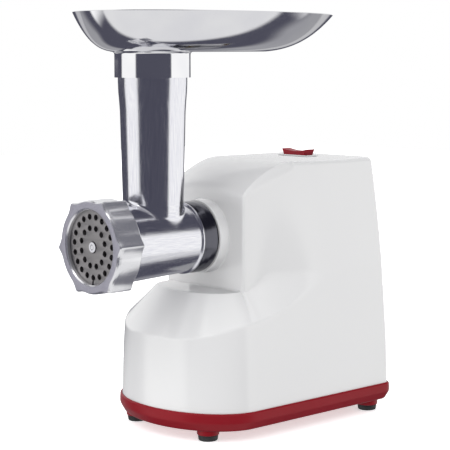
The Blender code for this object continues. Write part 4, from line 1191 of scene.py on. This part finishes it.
def make_world():
    """White for the camera, soft white for diffuse light, and a studio of soft boxes for reflections."""
    world = bpy.data.worlds.new("studio")
    bpy.context.scene.world = world
    world.use_nodes = True
    world.cycles.sampling_method = "NONE"
    n = Nodes(world.node_tree)
    n.tree.nodes.clear()

    def between(value, low, high, soft):
        edges = []
        for edge in (low, high):
            edges.append(n.spread(value, math.radians(edge - soft), math.radians(edge + soft), smooth=True))
        return n.math("SUBTRACT", *edges)

    turned_in = n.node("ShaderNodeVectorRotate", rotation_type="Z_AXIS")
    turned_in.inputs["Angle"].default_value = -CAMERA_AZIMUTH
    n.feed(turned_in.inputs["Vector"], n.node("ShaderNodeTexCoord").outputs["Generated"])
    x, y, z = (n.part(turned_in.outputs[0], letter) for letter in "XYZ")
    azimuth = n.math("ARCTAN2", x, n.math("MULTIPLY", y, -1.0))
    elevation = n.math("ARCSINE", z)

    # the pale table below: a sheet that ends under the machine and runs towards the camera and to the left
    depth = n.math("MAXIMUM", n.math("MULTIPLY", z, -1.0), 0.02)
    right = n.math("DIVIDE", x, depth)
    away = n.math("DIVIDE", y, depth)
    near = n.spread(n.math("ADD", n.math("MULTIPLY", right, -0.24), away), 0.10, -0.05, smooth=True)
    slant = n.spread(n.math("ADD", n.math("MULTIPLY", right, -0.62), away), -1.42, -1.26, smooth=True)
    left = n.spread(right, -1.9, -1.3, smooth=True)
    below = n.spread(z, -0.30, -0.45, smooth=True)
    sheet = n.math("MULTIPLY", n.math("MULTIPLY", near, slant), n.math("MULTIPLY", left, below))
    total = n.math("MULTIPLY", sheet, 0.80)
    for sides, heights, level, soft_sides, soft_heights in SOFT_BOXES:
        across = between(azimuth, *sides, soft_sides)
        mask = n.math("MULTIPLY", across, between(elevation, *heights, soft_heights))
        total = n.math("MAXIMUM", total, n.math("MULTIPLY", mask, level))

    room = n.node("ShaderNodeMix", data_type="RGBA", clamp_factor=False)
    n.feed(room.inputs["Factor"], total)
    n.feed(room.inputs[6], (0.085, 0.085, 0.115))
    n.feed(room.inputs[7], (1.0, 1.0, 1.0))
    path = n.node("ShaderNodeLightPath").outputs
    even = n.blend(path["Is Camera Ray"], (0.70, 0.70, 0.703), (1.0, 1.0, 1.0), True)
    background = n.node("ShaderNodeBackground")
    n.feed(background.inputs["Color"], n.blend(path["Is Glossy Ray"], even, room.outputs[2], True))
    n.feed(n.node("ShaderNodeOutputWorld").inputs["Surface"], background.outputs[0])


def make_floor():
    """Pale paper that glows a little, so that the machine's shadow on it stays faint."""
    s = Shader("floor_paper", (0.93, 0.93, 0.93), 0.9)
    s.mottle(s.noise(3.0), (0.925, 0.925, 0.93), (0.94, 0.94, 0.94))
    s.plain("Emission Color", (1.0, 1.0, 1.0, 1.0))
    s.plain("Emission Strength", 0.55)

    def build(bm):
        bmesh.ops.create_grid(bm, x_segments=2, y_segments=2, size=3.0)
    floor = new_object("floor", build, s.material)
    floor.visible_glossy = False
    floor.visible_diffuse = False


# ---- build
plain = bpy.data.materials.new("plain")
white = moulded_white()
red = moulded_red("moulded_red_abs", (0.225, 0.004, 0.010), (0.265, 0.006, 0.014))
switch_red = moulded_red("switch_red_abs", (0.250, 0.006, 0.016), (0.330, 0.009, 0.022))
rubber = soft_rubber()
casting = polished_casting()
nut_metal = nut_casting()
tray_metal = spun_tray()
plate_metal = ground_plate()
pin_metal = machined("polished_pin", (0.50, 0.49, 0.52), (0.72, 0.72, 0.74), 0.10, 0.22)

finishes = inner_materials()
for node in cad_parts.values():
    for index, old in enumerate(node.data.materials):
        node.data.materials[index] = finishes.get(old.name, old)

make_camera()
make_world()
soft_sun("key", 84.0, 30.0, 0.42)
soft_sun("fill", -18.0, 26.0, 1.00)
soft_sun("low", 40.0, 4.0, 0.08)
soft_sun("top", 60.0, 78.0, 0.50, 90.0)
soft_sun("back", 222.0, 50.0, 1.00)
soft_sun("edge", 5.0, 52.0, 0.12, 14.0, True)
make_floor()

make_housing()
make_base()
make_feet()
make_switch()
make_button()
make_gland()
make_head()
make_ring_nut()
make_plate()
make_tray()
make_auger_nose()

bpy.context.scene.view_settings.view_transform = "Standard"
